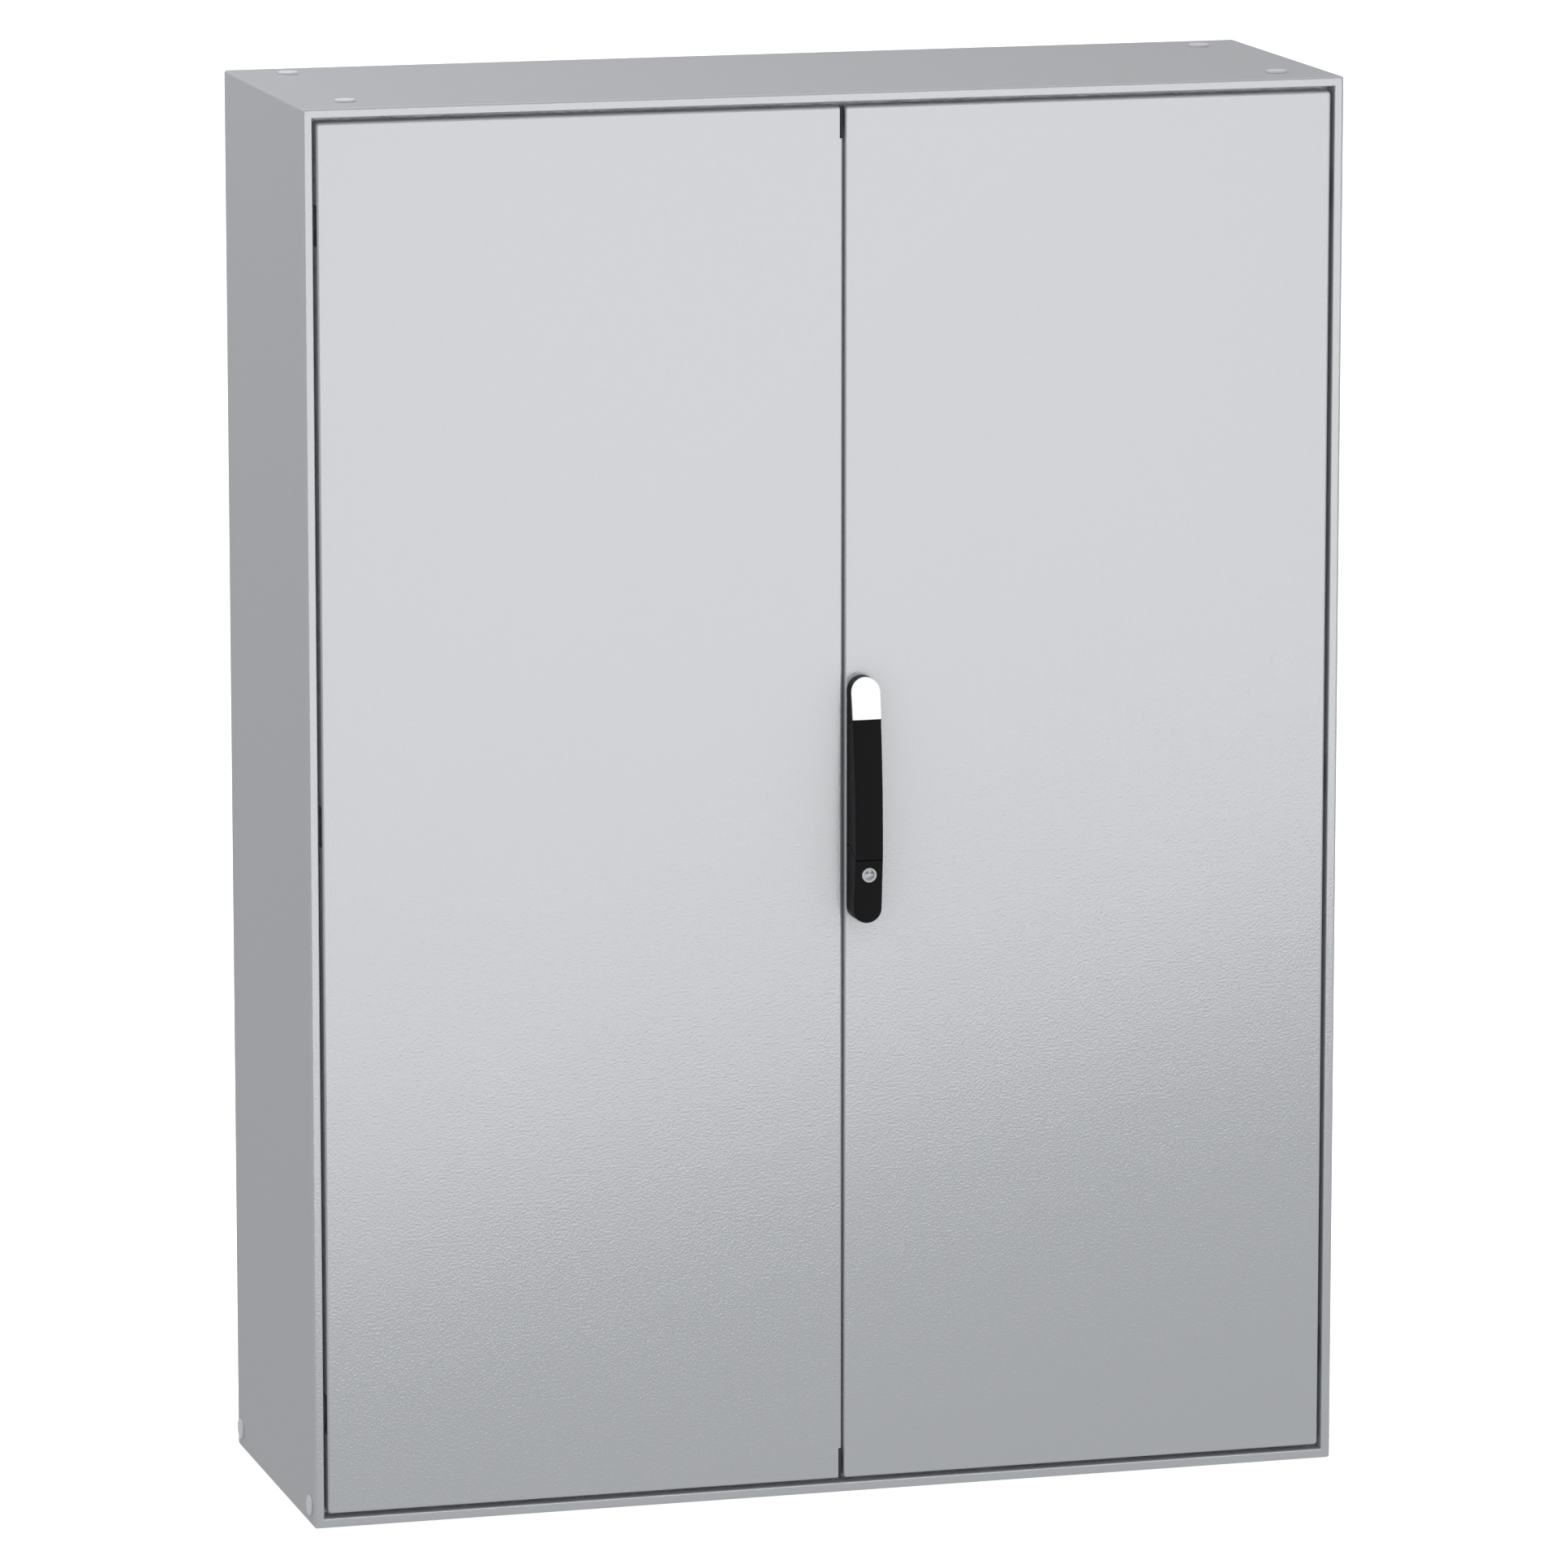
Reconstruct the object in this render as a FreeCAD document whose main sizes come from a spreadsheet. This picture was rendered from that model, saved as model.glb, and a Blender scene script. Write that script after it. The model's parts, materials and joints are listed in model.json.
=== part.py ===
import FreeCAD, Part
import Sketcher
import math
import os

# Two-door floor cabinet for switchgear. +X is to the right of a person facing the doors, +Y runs
# from the doors to the rear wall, +Z is up. The origin is the middle of the base's footprint.

Vector = FreeCAD.Vector
document = FreeCAD.newDocument("cabinet")
sheet = document.addObject("Spreadsheet::Sheet", "Sizes")

SIZES = {
    # casing
    "case_width": 1200, "case_height": 1600, "case_depth": 400, "case_sheet": 1.5,
    "case_bend": 3, "rim_width": 11, "rim_bend": 1.5, "gutter_depth": 25, "flange_width": 29,
    "lip_height": 13, "rear_flange": 25, "rear_inset": 3,
    "wall_hole": 6.25, "wall_hole_x": 565, "wall_hole_z": 765,
    "plug_x": 539, "plug_y": 142, "plug_cap": 11.5, "plug_cap_height": 2.8, "plug_stem": 7.8,
    "side_plug_y": 179, "side_plug_z": 23, "plinth_hole": 6.5,
    # gland openings in the bottom
    "gland_inner": 40, "gland_outer": 510, "gland_front": -95, "gland_rear": 115,
    "gland_border": 16, "gland_seal": 2, "gland_plate": 2,
    # doors
    "door_sheet": 1.5, "door_fold": 18, "door_corner": 4, "door_bend": 2.5,
    "side_gap": 4.5, "end_gap": 5.5, "gap_centre": 15.35, "gap_width": 2.9,
    "seal_width": 12, "seal_clearance": 0.3, "inner_fold": 10.7,
    "guide_width": 3.6, "guide_height": 35,
    "stiffener_width": 22, "stiffener_depth": 13, "stiffener_end": 66, "stiffener_hole": 4,
    "stiffener_pitch": 50,
    # hinges
    "hinge_inset": 6, "hinge_depth": 5, "hinge_end": 130, "hinge_knuckle": 3.2, "hinge_pin": 2,
    "hinge_running": 0.05, "arm_half": 9, "lug_near": 9.4, "lug_far": 21, "notch_half": 23,
    # centre post
    "post_left": 1.5, "post_right": 24.5, "post_depth": 23, "post_wall": 1.5,
    # handle
    "handle_x": 36, "handle_top": 943.5, "handle_bottom": 664, "handle_half": 17,
    "handle_seal": 1, "handle_skirt": 17.5, "handle_taper": 3.3, "handle_crest": 36.9,
    "crest_z": 757, "crest_radius": 860, "block_foot": 29, "base_plate": 2.2, "cap_seam": 896.2,
    "lever_seam": 738.2, "seam_gap": 1.25, "cap_skin": 1.6, "lift_z": 912, "lift_height": 11,
    "lift_pin": 2, "knuckle_reach": 21, "lug_half": 6, "lug_slot": 6.6, "lug_thick": 3.2,
    "neck_radius": 9, "spindle_square": 7, "lock_z": 721, "lock_radius": 8.6,
    # rod lock
    "gear_module": 1, "drive_teeth": 14, "rack_teeth": 18, "pressure_angle": 25, "gear_backlash": 0.25,
    "drive_front": -192, "drive_rear": -184, "rod_front": -171, "rod_rear": -166,
    "rod_width": 9, "rod_gap": 0.4, "rod_short": 1, "guide_side": 3, "bolt_left": -26,
    "box_front": -198.5, "box_rear": -164.5, "box_wall": 1.2, "box_half": 40,
    "box_left": 26.4, "box_right": 73,
    # inner fittings
    "plate_half": 550, "plate_end": 50, "plate_front": 165, "plate_sheet": 3,
    "stud_radius": 5, "stud_x": 520, "stud_end": 80,
}

for row, (alias, value) in enumerate(SIZES.items(), start=1):
    sheet.set("A%d" % row, alias.replace("_", " "))
    sheet.set("B%d" % row, str(value))
    sheet.setAlias("B%d" % row, alias)
document.recompute()


class Size:
    """A number together with the sheet expression that gives it."""

    def __init__(self, value, text):
        self.value = float(value)
        self.text = text

    def __add__(self, other):
        other = size(other)
        return Size(self.value + other.value, "(%s + %s)" % (self.text, other.text))

    def __radd__(self, other):
        return size(other) + self

    def __sub__(self, other):
        other = size(other)
        return Size(self.value - other.value, "(%s - %s)" % (self.text, other.text))

    def __rsub__(self, other):
        return size(other) - self

    def __mul__(self, factor):
        return Size(self.value * factor, "(%s * %s)" % (self.text, factor))

    __rmul__ = __mul__

    def __neg__(self):
        return self * -1

    def __truediv__(self, factor):
        return self * (1 / factor)


def size(item):
    """Turns a plain number into a Size, and leaves a Size alone."""
    return item if isinstance(item, Size) else Size(item, "(%s)" % repr(float(item)))


def dim(alias):
    """The Size of one named cell."""
    return Size(sheet.get(alias), "Sizes." + alias)


# ---------------------------------------------------------------- building blocks

def bind(item, **sizes):
    """Binds properties of an object to sheet expressions."""
    for name, value in sizes.items():
        item.setExpression(name, size(value).text)


def place(item, x, y, z):
    """Binds an object's position."""
    for axis, value in zip("xyz", (x, y, z)):
        item.setExpression("Placement.Base." + axis, size(value).text)


def box(name, low, high):
    """A block between two corners."""
    item = document.addObject("Part::Box", name)
    low, high = [size(value) for value in low], [size(value) for value in high]
    bind(item, Length=high[0] - low[0], Width=high[1] - low[1], Height=high[2] - low[2])
    place(item, *low)
    return item


TURNS = {
    "+X": FreeCAD.Rotation(Vector(0, 1, 0), 90), "-X": FreeCAD.Rotation(Vector(0, 1, 0), -90),
    "+Y": FreeCAD.Rotation(Vector(1, 0, 0), -90), "-Y": FreeCAD.Rotation(Vector(1, 0, 0), 90),
    "+Z": FreeCAD.Rotation(), "-Z": FreeCAD.Rotation(Vector(1, 0, 0), 180),
}


def rod(name, start, radius, length, axis="+Z"):
    """A round bar from a point along an axis."""
    item = document.addObject("Part::Cylinder", name)
    item.Placement = FreeCAD.Placement(Vector(), TURNS[axis])
    bind(item, Radius=radius, Height=length)
    place(item, *start)
    return item


def prism(name, start, radius, length, axis="+Z", sides=6):
    """A regular bar, such as a nut or a key recess, from a point along an axis."""
    item = document.addObject("Part::Prism", name)
    item.Polygon = sides
    item.Placement = FreeCAD.Placement(Vector(), TURNS[axis])
    bind(item, Circumradius=radius, Height=length)
    place(item, *start)
    return item


def fuse(name, parts):
    item = document.addObject("Part::MultiFuse", name)
    item.Shapes = parts
    return item


def common(name, parts):
    item = document.addObject("Part::MultiCommon", name)
    item.Shapes = parts
    return item


def cut(name, base, tools):
    """Takes one tool, or a group of tools, out of a base."""
    item = document.addObject("Part::Cut", name)
    item.Base = base
    item.Tool = tools[0] if len(tools) == 1 else group(name + "_tools", tools)
    return item


def group(name, parts):
    """Separate solids kept together in one node."""
    item = document.addObject("Part::Compound", name)
    item.Links = parts
    return item


def copy_at(name, source, x, y, z, turn=None):
    """A linked copy of an object at another place, turned if asked."""
    item = document.addObject("App::Link", name)
    item.LinkedObject = source
    item.Placement = FreeCAD.Placement(Vector(), turn or FreeCAD.Rotation())
    place(item, x, y, z)
    return item


def origin_item(body, role):
    return next(item for item in body.Origin.OriginFeatures if item.Role == role)


def outline(body, name, plane, points, offset=0):
    """A closed sketch of straight edges, every corner placed from the sheet. A point is a pair of
    the sketch plane's own coordinates: X,Y on XY_Plane, X,Z on XZ_Plane, Y,Z on YZ_Plane."""
    sketch = body.newObject("Sketcher::SketchObject", name)
    sketch.AttachmentSupport = [(origin_item(body, plane), "")]
    sketch.MapMode = "FlatFace"
    sketch.setExpression("AttachmentOffset.Base.z", size(offset).text)
    add_loop(sketch, points)
    return sketch


def add_loop(sketch, points):
    """Adds one closed loop of lines to a sketch, with its corners bound to the sheet."""
    points = [(size(u), size(v)) for u, v in points]
    first = sketch.GeometryCount
    corners = [Vector(u.value, v.value, 0) for u, v in points]
    lines = [Part.LineSegment(a, b) for a, b in zip(corners, corners[1:] + corners[:1])]
    sketch.addGeometry(lines, False)
    rules = []
    for index in range(len(points)):
        following = (index + 1) % len(points)
        rules.append(Sketcher.Constraint("Coincident", first + index, 2, first + following, 1))
    sketch.addConstraint(rules)
    for index, (u, v) in enumerate(points):
        for kind, value in (("DistanceX", u), ("DistanceY", v)):
            number = sketch.addConstraint(
                Sketcher.Constraint(kind, -1, 1, first + index, 1, value.value))
            sketch.setExpression("Constraints[%d]" % number, value.text)


def add_circle(sketch, u, v, radius):
    """Adds a circle to a sketch, bound to the sheet."""
    u, v, radius = size(u), size(v), size(radius)
    number = sketch.addGeometry(Part.Circle(Vector(u.value, v.value, 0), Vector(0, 0, 1), radius.value))
    for kind, value in (("DistanceX", u), ("DistanceY", v)):
        rule = sketch.addConstraint(Sketcher.Constraint(kind, -1, 1, number, 3, value.value))
        sketch.setExpression("Constraints[%d]" % rule, value.text)
    rule = sketch.addConstraint(Sketcher.Constraint("Radius", number, radius.value))
    sketch.setExpression("Constraints[%d]" % rule, radius.text)


def pad(name, plane, points, low, high):
    """A body padded from a straight-edged outline between two levels of the plane's normal.
    The normal of XY_Plane is +Z, of YZ_Plane +X, and of XZ_Plane -Y."""
    body = document.addObject("PartDesign::Body", name)
    low, high = size(low), size(high)
    offset = -high if plane == "XZ_Plane" else low
    sketch = outline(body, name + "_outline", plane, points, offset)
    feature = body.newObject("PartDesign::Pad", name + "_pad")
    feature.Profile = sketch
    bind(feature, Length=high - low)
    sketch.Visibility = False
    body.Tip = feature
    return body


def round_edges(body, name, test, radius):
    """Fillets the edges of a body's last feature whose ends all pass a test."""
    document.recompute()
    base = body.Tip
    names = ["Edge%d" % number for number, edge in enumerate(base.Shape.Edges, start=1)
             if test([vertex.Point for vertex in edge.Vertexes])]
    if not names:
        raise RuntimeError("no edges for " + name)
    feature = body.newObject("PartDesign::Fillet", name)
    feature.Base = (base, names)
    bind(feature, Radius=radius)
    body.Tip = feature


def sink(body, name, sketch, depth, reversed_side):
    """Pockets a sketch into a body and checks that it took material away."""
    document.recompute()
    before = body.Shape.Volume
    feature = body.newObject("PartDesign::Pocket", name)
    feature.Profile = sketch
    feature.Reversed = reversed_side
    bind(feature, Length=depth)
    body.Tip = feature
    document.recompute()
    if body.Shape.Volume >= before - 1e-6:
        raise RuntimeError(name + " cut nothing")
    return feature


def near(value, target):
    return abs(value - target) < 1e-3


def screw_kit(name, head_radius, head_height, shank_radius, shank_length, key):
    """A cap screw pointing down -Z: its head stands on z = 0 and its shank runs below."""
    head = rod(name + "_head", (0, 0, 0), head_radius, head_height)
    shank = rod(name + "_shank", (0, 0, 0), shank_radius, shank_length, "-Z")
    recess = prism(name + "_key", (0, 0, size(head_height) / 2), key, head_height)
    return cut(name, fuse(name + "_blank", [head, shank]), [recess])


def nut_kit(name, radius, height, bore):
    """A hexagon nut standing on z = 0."""
    hexagon = prism(name + "_hex", (0, 0, 0), radius, height)
    return cut(name, hexagon, [rod(name + "_bore", (0, 0, -1), bore, size(height) + 2)])


def scatter(name, source, places, turn=None):
    """One node of copies of a source at several places."""
    return group(name, [copy_at("%s_%d" % (name, number), source, *place, turn=turn)
                        for number, place in enumerate(places, start=1)])


# ---------------------------------------------------------------- sizes worked out from the sheet

half_width = dim("case_width") / 2
half_depth = dim("case_depth") / 2
height = dim("case_height")
case_sheet = dim("case_sheet")
rim = dim("rim_width")
front = -half_depth                                     # front plane of rim and doors
gutter_floor = front + dim("gutter_depth")
lip_reach = rim + dim("flange_width")                   # from the outside to the seal lip's far side
lip_tip = gutter_floor - dim("lip_height")
rear_sheet_y = half_depth - dim("rear_inset")           # front of the rear wall sheet

door_back = front + dim("door_sheet")                   # inside of a door's face
door_low = rim + dim("end_gap")
door_high = height - door_low
left_door_edge = -(half_width - rim - dim("side_gap"))
right_door_edge = -left_door_edge
left_door_inner = dim("gap_centre") - dim("gap_width") / 2
right_door_inner = dim("gap_centre") + dim("gap_width") / 2
hinge_y = front + dim("hinge_depth")
hinge_x = half_width - rim - dim("side_gap") - dim("hinge_inset")
middle = height / 2
hinge_levels = [dim("hinge_end"), middle, height - dim("hinge_end")]

handle_x = dim("handle_x")
spindle_z = dim("handle_top") - dim("handle_half")
drive_radius = dim("gear_module") * SIZES["drive_teeth"] / 2
rack_radius = dim("gear_module") * SIZES["rack_teeth"] / 2
transfer_x = handle_x + drive_radius * 2
upper_rod_low = transfer_x + rack_radius                # pitch line of the upper rod's rack
lower_rod_high = transfer_x - rack_radius
rod_top = height - lip_reach - dim("rod_short")
rod_bottom = lip_reach + dim("rod_short")

nodes = []


def node(item, label):
    """Registers an object as a finished sub-part under its label."""
    item.Label = label
    nodes.append(item)
    return item


# ---------------------------------------------------------------- casing

def post_screw_places(end):
    """X and Z of the screws that hold the centre post's bracket at one end of the casing."""
    level = lip_reach - 16
    return [(x, level if end == "bottom" else height - level)
            for x in (dim("post_left") + 6, dim("post_right") - 6)]


def post_screw_bores(end, start_y):
    return [rod("post_%s_bore_%d" % (end, len(document.Objects)), (x, start_y, z), 2.6, 8, "+Y")
            for x, z in post_screw_places(end)]


def casing():
    """Four walls, each one folded sheet that carries its part of the front gutter: outer wall, rim,
    gutter wall, flange and seal lip, and a rear flange. Mitred corners close the ring."""
    block = box("casing_block", (-half_width, -half_depth, 0), (half_width, half_depth, height))
    document.recompute()
    rounded = document.addObject("Part::Fillet", "casing_envelope")
    rounded.Base = block
    bend = SIZES["case_bend"]
    rounded.Edges = [(number, bend, bend) for number in range(1, len(block.Shape.Edges) + 1)]

    inner = rim - case_sheet
    section = [                                          # inward from the outside, depth
        (dim("rear_flange"), half_depth), (0, half_depth), (0, front), (rim, front),
        (rim, gutter_floor), (lip_reach - case_sheet, gutter_floor),
        (lip_reach - case_sheet, lip_tip), (lip_reach, lip_tip),
        (lip_reach, gutter_floor + case_sheet), (inner, gutter_floor + case_sheet),
        (inner, front + case_sheet), (case_sheet, front + case_sheet),
        (case_sheet, half_depth - case_sheet), (dim("rear_flange"), half_depth - case_sheet),
    ]
    reach = lip_reach + 1
    sides = {
        "left": ("XY_Plane", lambda u, y: (-half_width + u, y), (0, height)),
        "right": ("XY_Plane", lambda u, y: (half_width - u, y), (0, height)),
        "bottom": ("YZ_Plane", lambda u, y: (y, u), (-half_width, half_width)),
        "top": ("YZ_Plane", lambda u, y: (y, height - u), (-half_width, half_width)),
    }
    wedges = {                                           # the mitred share of each wall, in X and Z
        "left": [(-half_width, 0), (-half_width, height),
                 (-half_width + reach, height - reach), (-half_width + reach, reach)],
        "right": [(half_width, 0), (half_width, height),
                  (half_width - reach, height - reach), (half_width - reach, reach)],
        "bottom": [(-half_width, 0), (half_width, 0),
                   (half_width - reach, reach), (-half_width + reach, reach)],
        "top": [(-half_width, height), (half_width, height),
                (half_width - reach, height - reach), (-half_width + reach, height - reach)],
    }
    walls = {}
    for side, (plane, at, span) in sides.items():
        folded = pad(side + "_fold", plane, [at(u, y) for u, y in section], *span)
        upright = plane == "XY_Plane"
        edge = [size(value).value for value in at(rim, front)]

        def on_rim(ends, edge=edge, upright=upright):
            if upright:
                return all(near(end.x, edge[0]) and near(end.y, edge[1]) for end in ends)
            return all(near(end.y, edge[0]) and near(end.z, edge[1]) for end in ends)

        round_edges(folded, side + "_rim_bend", on_rim, dim("rim_bend"))
        wedge = pad(side + "_mitre", "XZ_Plane", wedges[side], front - 1, half_depth + 1)
        walls[side] = common(side + "_wall", [folded, wedge, rounded])

    plug_bore = dim("plug_stem") + 0.2
    through = case_sheet + 2
    side_bores = {
        side: [rod("%s_plug_bore_%d" % (side, number), (start, way * dim("side_plug_y"), dim("side_plug_z")),
                   plug_bore, through, "+X")
               for number, way in enumerate((-1, 1), start=1)]
        for side, start in (("left", -half_width - 1), ("right", half_width - case_sheet - 1))
    }
    for side in ("left", "right"):
        # the front plug sits in the rim's own fold, where the bore opens into the folded channel
        node(cut(side + "_side", walls[side], side_bores[side]), "casing_%s_side" % side)
    corners = [(sx, sy) for sx in (-1, 1) for sy in (-1, 1)]
    top_bores = [rod("top_bore_%d" % number, (sx * dim("plug_x"), sy * dim("plug_y"), height - case_sheet - 1),
                     plug_bore, through)
                 for number, (sx, sy) in enumerate(corners, start=1)]
    top_bores += post_screw_bores("top", gutter_floor - 1)
    node(cut("top_panel", walls["top"], top_bores), "casing_top")
    bottom_tools = [rod("plinth_bore_%d" % number, (sx * dim("plug_x"), sy * dim("plug_y"), -1),
                        dim("plinth_hole"), through)
                    for number, (sx, sy) in enumerate(corners, start=1)]
    for way in (-1, 1):
        xs = sorted((way * dim("gland_inner"), way * dim("gland_outer")), key=lambda value: value.value)
        bottom_tools.append(box("gland_cut_%d" % (way + 2), (xs[0], dim("gland_front"), -1),
                                (xs[1], dim("gland_rear"), case_sheet + 1)))
    bottom_tools += post_screw_bores("bottom", gutter_floor - 1)
    node(cut("bottom_panel", walls["bottom"], bottom_tools), "casing_bottom")

    inset = dim("rear_inset")
    rear = box("rear_sheet", (-half_width + inset, rear_sheet_y, inset),
               (half_width - inset, half_depth - case_sheet, height - inset))
    fixings = [rod("wall_bore_%d" % number, (sx * dim("wall_hole_x"), rear_sheet_y - 1,
                                             middle + sz * dim("wall_hole_z")),
                   dim("wall_hole"), case_sheet + 3, "+Y")
               for number, (sx, sz) in enumerate(corners, start=1)]
    node(cut("rear_panel", rear, fixings), "casing_rear")

    plug = document.addObject("PartDesign::Body", "plug")
    cap, stem, rise = dim("plug_cap"), dim("plug_stem"), dim("plug_cap_height")
    sketch = outline(plug, "plug_outline", "XZ_Plane",
                     [(0, -5), (stem, -5), (stem, 0), (cap, 0), (cap, rise - 1.4),
                      (cap - 0.5, rise - 0.5), (cap - 1.6, rise), (0, rise)])
    turned = plug.newObject("PartDesign::Revolution", "plug_turned")
    turned.Profile = sketch
    turned.ReferenceAxis = (sketch, ["V_Axis"])
    turned.Angle = 360
    plug.Tip = turned
    node(scatter("top_plugs_group", plug,
                 [(sx * dim("plug_x"), sy * dim("plug_y"), height) for sx, sy in corners]), "top_plugs")
    left = [copy_at("side_plug_l%d" % (way + 2), plug, -half_width, way * dim("side_plug_y"),
                    dim("side_plug_z"), TURNS["-X"]) for way in (-1, 1)]
    right = [copy_at("side_plug_r%d" % (way + 2), plug, half_width, way * dim("side_plug_y"),
                     dim("side_plug_z"), TURNS["+X"]) for way in (-1, 1)]
    node(group("side_plugs_group", left + right), "side_plugs")


def gland_plates():
    """Two removable plates over the bottom openings, each on its seal, held down by cap screws."""
    border, seal, plate = dim("gland_border"), dim("gland_seal"), dim("gland_plate")
    seals, plates, places = [], [], []
    for way in (-1, 1):
        xs = sorted((way * dim("gland_inner"), way * dim("gland_outer")), key=lambda value: value.value)
        low = (xs[0] - border, dim("gland_front") - border)
        high = (xs[1] + border, dim("gland_rear") + border)
        tag = "left" if way < 0 else "right"
        ring = box("gland_seal_outer_" + tag, (low[0], low[1], case_sheet), (high[0], high[1], case_sheet + seal))
        hole = box("gland_seal_inner_" + tag, (xs[0] - 2, dim("gland_front") - 2, 0),
                   (xs[1] + 2, dim("gland_rear") + 2, case_sheet + seal + 1))
        seals.append(cut("gland_seal_" + tag, ring, [hole]))
        lid = box("gland_lid_" + tag, (low[0], low[1], case_sheet + seal),
                  (high[0], high[1], case_sheet + seal + plate))
        middle_x = (xs[0] + xs[1]) / 2
        spots = [(x, y) for x in (xs[0] - border / 2, middle_x, xs[1] + border / 2)
                 for y in (dim("gland_front") - border / 2, dim("gland_rear") + border / 2)]
        bores = [rod("gland_bore_%s_%d" % (tag, number), (x, y, 0), 2.6, 10)
                 for number, (x, y) in enumerate(spots, start=1)]
        plates.append(cut("gland_plate_" + tag, lid, bores))
        seals[-1] = cut("gland_seal_bored_" + tag, seals[-1],
                        [rod("seal_bore_%s_%d" % (tag, number), (x, y, 0), 2.6, 10)
                         for number, (x, y) in enumerate(spots, start=1)])
        places += [(x, y, case_sheet + seal + plate) for x, y in spots]
    node(group("gland_seals_group", seals), "gland_seals")
    node(group("gland_plates_group", plates), "gland_plates")
    screw = screw_kit("gland_screw", 4.25, 3, 2.5, seal + plate, 2)
    node(scatter("gland_screws_group", screw, places), "gland_screws")


def centre_post():
    """The upright behind the gap between the doors. Both doors seal on its front face, so either
    door opens on its own. A cranked bracket at each end is screwed to the gutter flange."""
    left, right = dim("post_left"), dim("post_right")
    low, high = lip_reach + 0.2, height - lip_reach - 0.2
    back = lip_tip + dim("post_depth")
    wall = dim("post_wall")
    tube = cut("post_tube", box("post_outer", (left, lip_tip, low), (right, back, high)),
               [box("post_inner", (left + wall, lip_tip + wall, low - 1), (right - wall, back - wall, high + 1))])
    node(tube, "centre_post")
    thick = 3
    flange_back = gutter_floor + case_sheet
    brackets, screws = [], []
    for tag, way, base in (("bottom", -1, 0), ("top", 1, height)):
        def up(value, way=way, base=base):
            """A level measured from the nearer end of the casing."""
            return base - way * size(value)
        points = [(back, up(lip_reach + 40)), (back + thick, up(lip_reach + 40)),
                  (back + thick, up(lip_reach - 6)), (flange_back + thick, up(lip_reach - 6)),
                  (flange_back + thick, up(lip_reach - 24)), (flange_back, up(lip_reach - 24)),
                  (flange_back, up(lip_reach - 6 + thick)), (back, up(lip_reach - 6 + thick))]
        bracket = pad("post_bracket_" + tag, "YZ_Plane", points, left, right)
        brackets.append(cut("post_bracket_bored_" + tag, bracket,
                            post_screw_bores(tag, flange_back - 1)))
        screws += [(x, gutter_floor, z) for x, z in post_screw_places(tag)]
    node(group("post_brackets_group", brackets), "centre_post_brackets")
    screw = screw_kit("post_screw", 4, 2.4, 2.5, case_sheet + thick, 1.7)
    node(scatter("post_screws_group", screw, screws, TURNS["-Y"]), "centre_post_screws")


# ---------------------------------------------------------------- doors

def door_panel(tag, edge, inner):
    """A folded pan: rounded corners, rounded front edges, and windows in the hinge-side fold where
    the hinge arms reach in."""
    fold = dim("door_fold")
    xs = sorted((edge, inner), key=lambda value: value.value)
    skin = dim("door_sheet")
    body = pad(tag + "_pan", "XZ_Plane",
               [(xs[0], door_low), (xs[1], door_low), (xs[1], door_high), (xs[0], door_high)],
               front, front + fold)

    def along_depth(ends):
        return near(ends[0].x, ends[-1].x) and near(ends[0].z, ends[-1].z)

    round_edges(body, tag + "_corners", along_depth, dim("door_corner"))
    round_edges(body, tag + "_bends", lambda ends: all(near(end.y, front.value) for end in ends),
                dim("door_bend"))
    hollow = outline(body, tag + "_hollow", "XZ_Plane",
                     [(xs[0] + skin, door_low + skin), (xs[1] - skin, door_low + skin),
                      (xs[1] - skin, door_high - skin), (xs[0] + skin, door_high - skin)],
                     -(front + fold))
    sink(body, tag + "_inside", hollow, fold - skin, True)
    return body


def door_tools(tag, edge):
    """The hinge windows in a door's outer fold, and what the inner fold is shorter by, to clear
    the centre post."""
    way = 1 if edge.value < 0 else -1
    xs = sorted((edge - way, edge + way * (dim("door_sheet") + 0.1)), key=lambda value: value.value)
    tools = [box("%s_window_%d" % (tag, number), (xs[0], door_back + 1.5, level - dim("notch_half")),
                 (xs[1], front + dim("door_fold") + 1, level + dim("notch_half")))
             for number, level in enumerate(hinge_levels, start=1)]
    inner = left_door_inner if way > 0 else right_door_inner
    xs = sorted((inner + way, inner - way * (dim("door_sheet") + 0.1)), key=lambda value: value.value)
    tools.append(box(tag + "_short_fold", (xs[0], front + dim("inner_fold"), door_low - 1),
                     (xs[1], front + dim("door_fold") + 1, door_high + 1)))
    return tools


def door_seal(tag, lip_edge, post_edge, post_inner):
    """A foamed ring on the door's inside, on the line of the seal lip and the centre post."""
    half = dim("seal_width") / 2
    line_low = lip_reach - case_sheet / 2
    way = 1 if lip_edge.value < 0 else -1
    outer_x = [lip_edge - way * half, post_edge]
    inner_x = [lip_edge + way * half, post_inner]
    outer_x.sort(key=lambda value: value.value)
    inner_x.sort(key=lambda value: value.value)
    back = lip_tip - dim("seal_clearance")
    outer = box(tag + "_seal_outer", (outer_x[0], door_back, line_low - half),
                (outer_x[1], back, height - line_low + half))
    hole = box(tag + "_seal_inner", (inner_x[0], door_back - 1, line_low + half),
               (inner_x[1], back + 1, height - line_low - half))
    return cut(tag + "_seal_ring", outer, [hole])


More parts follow.
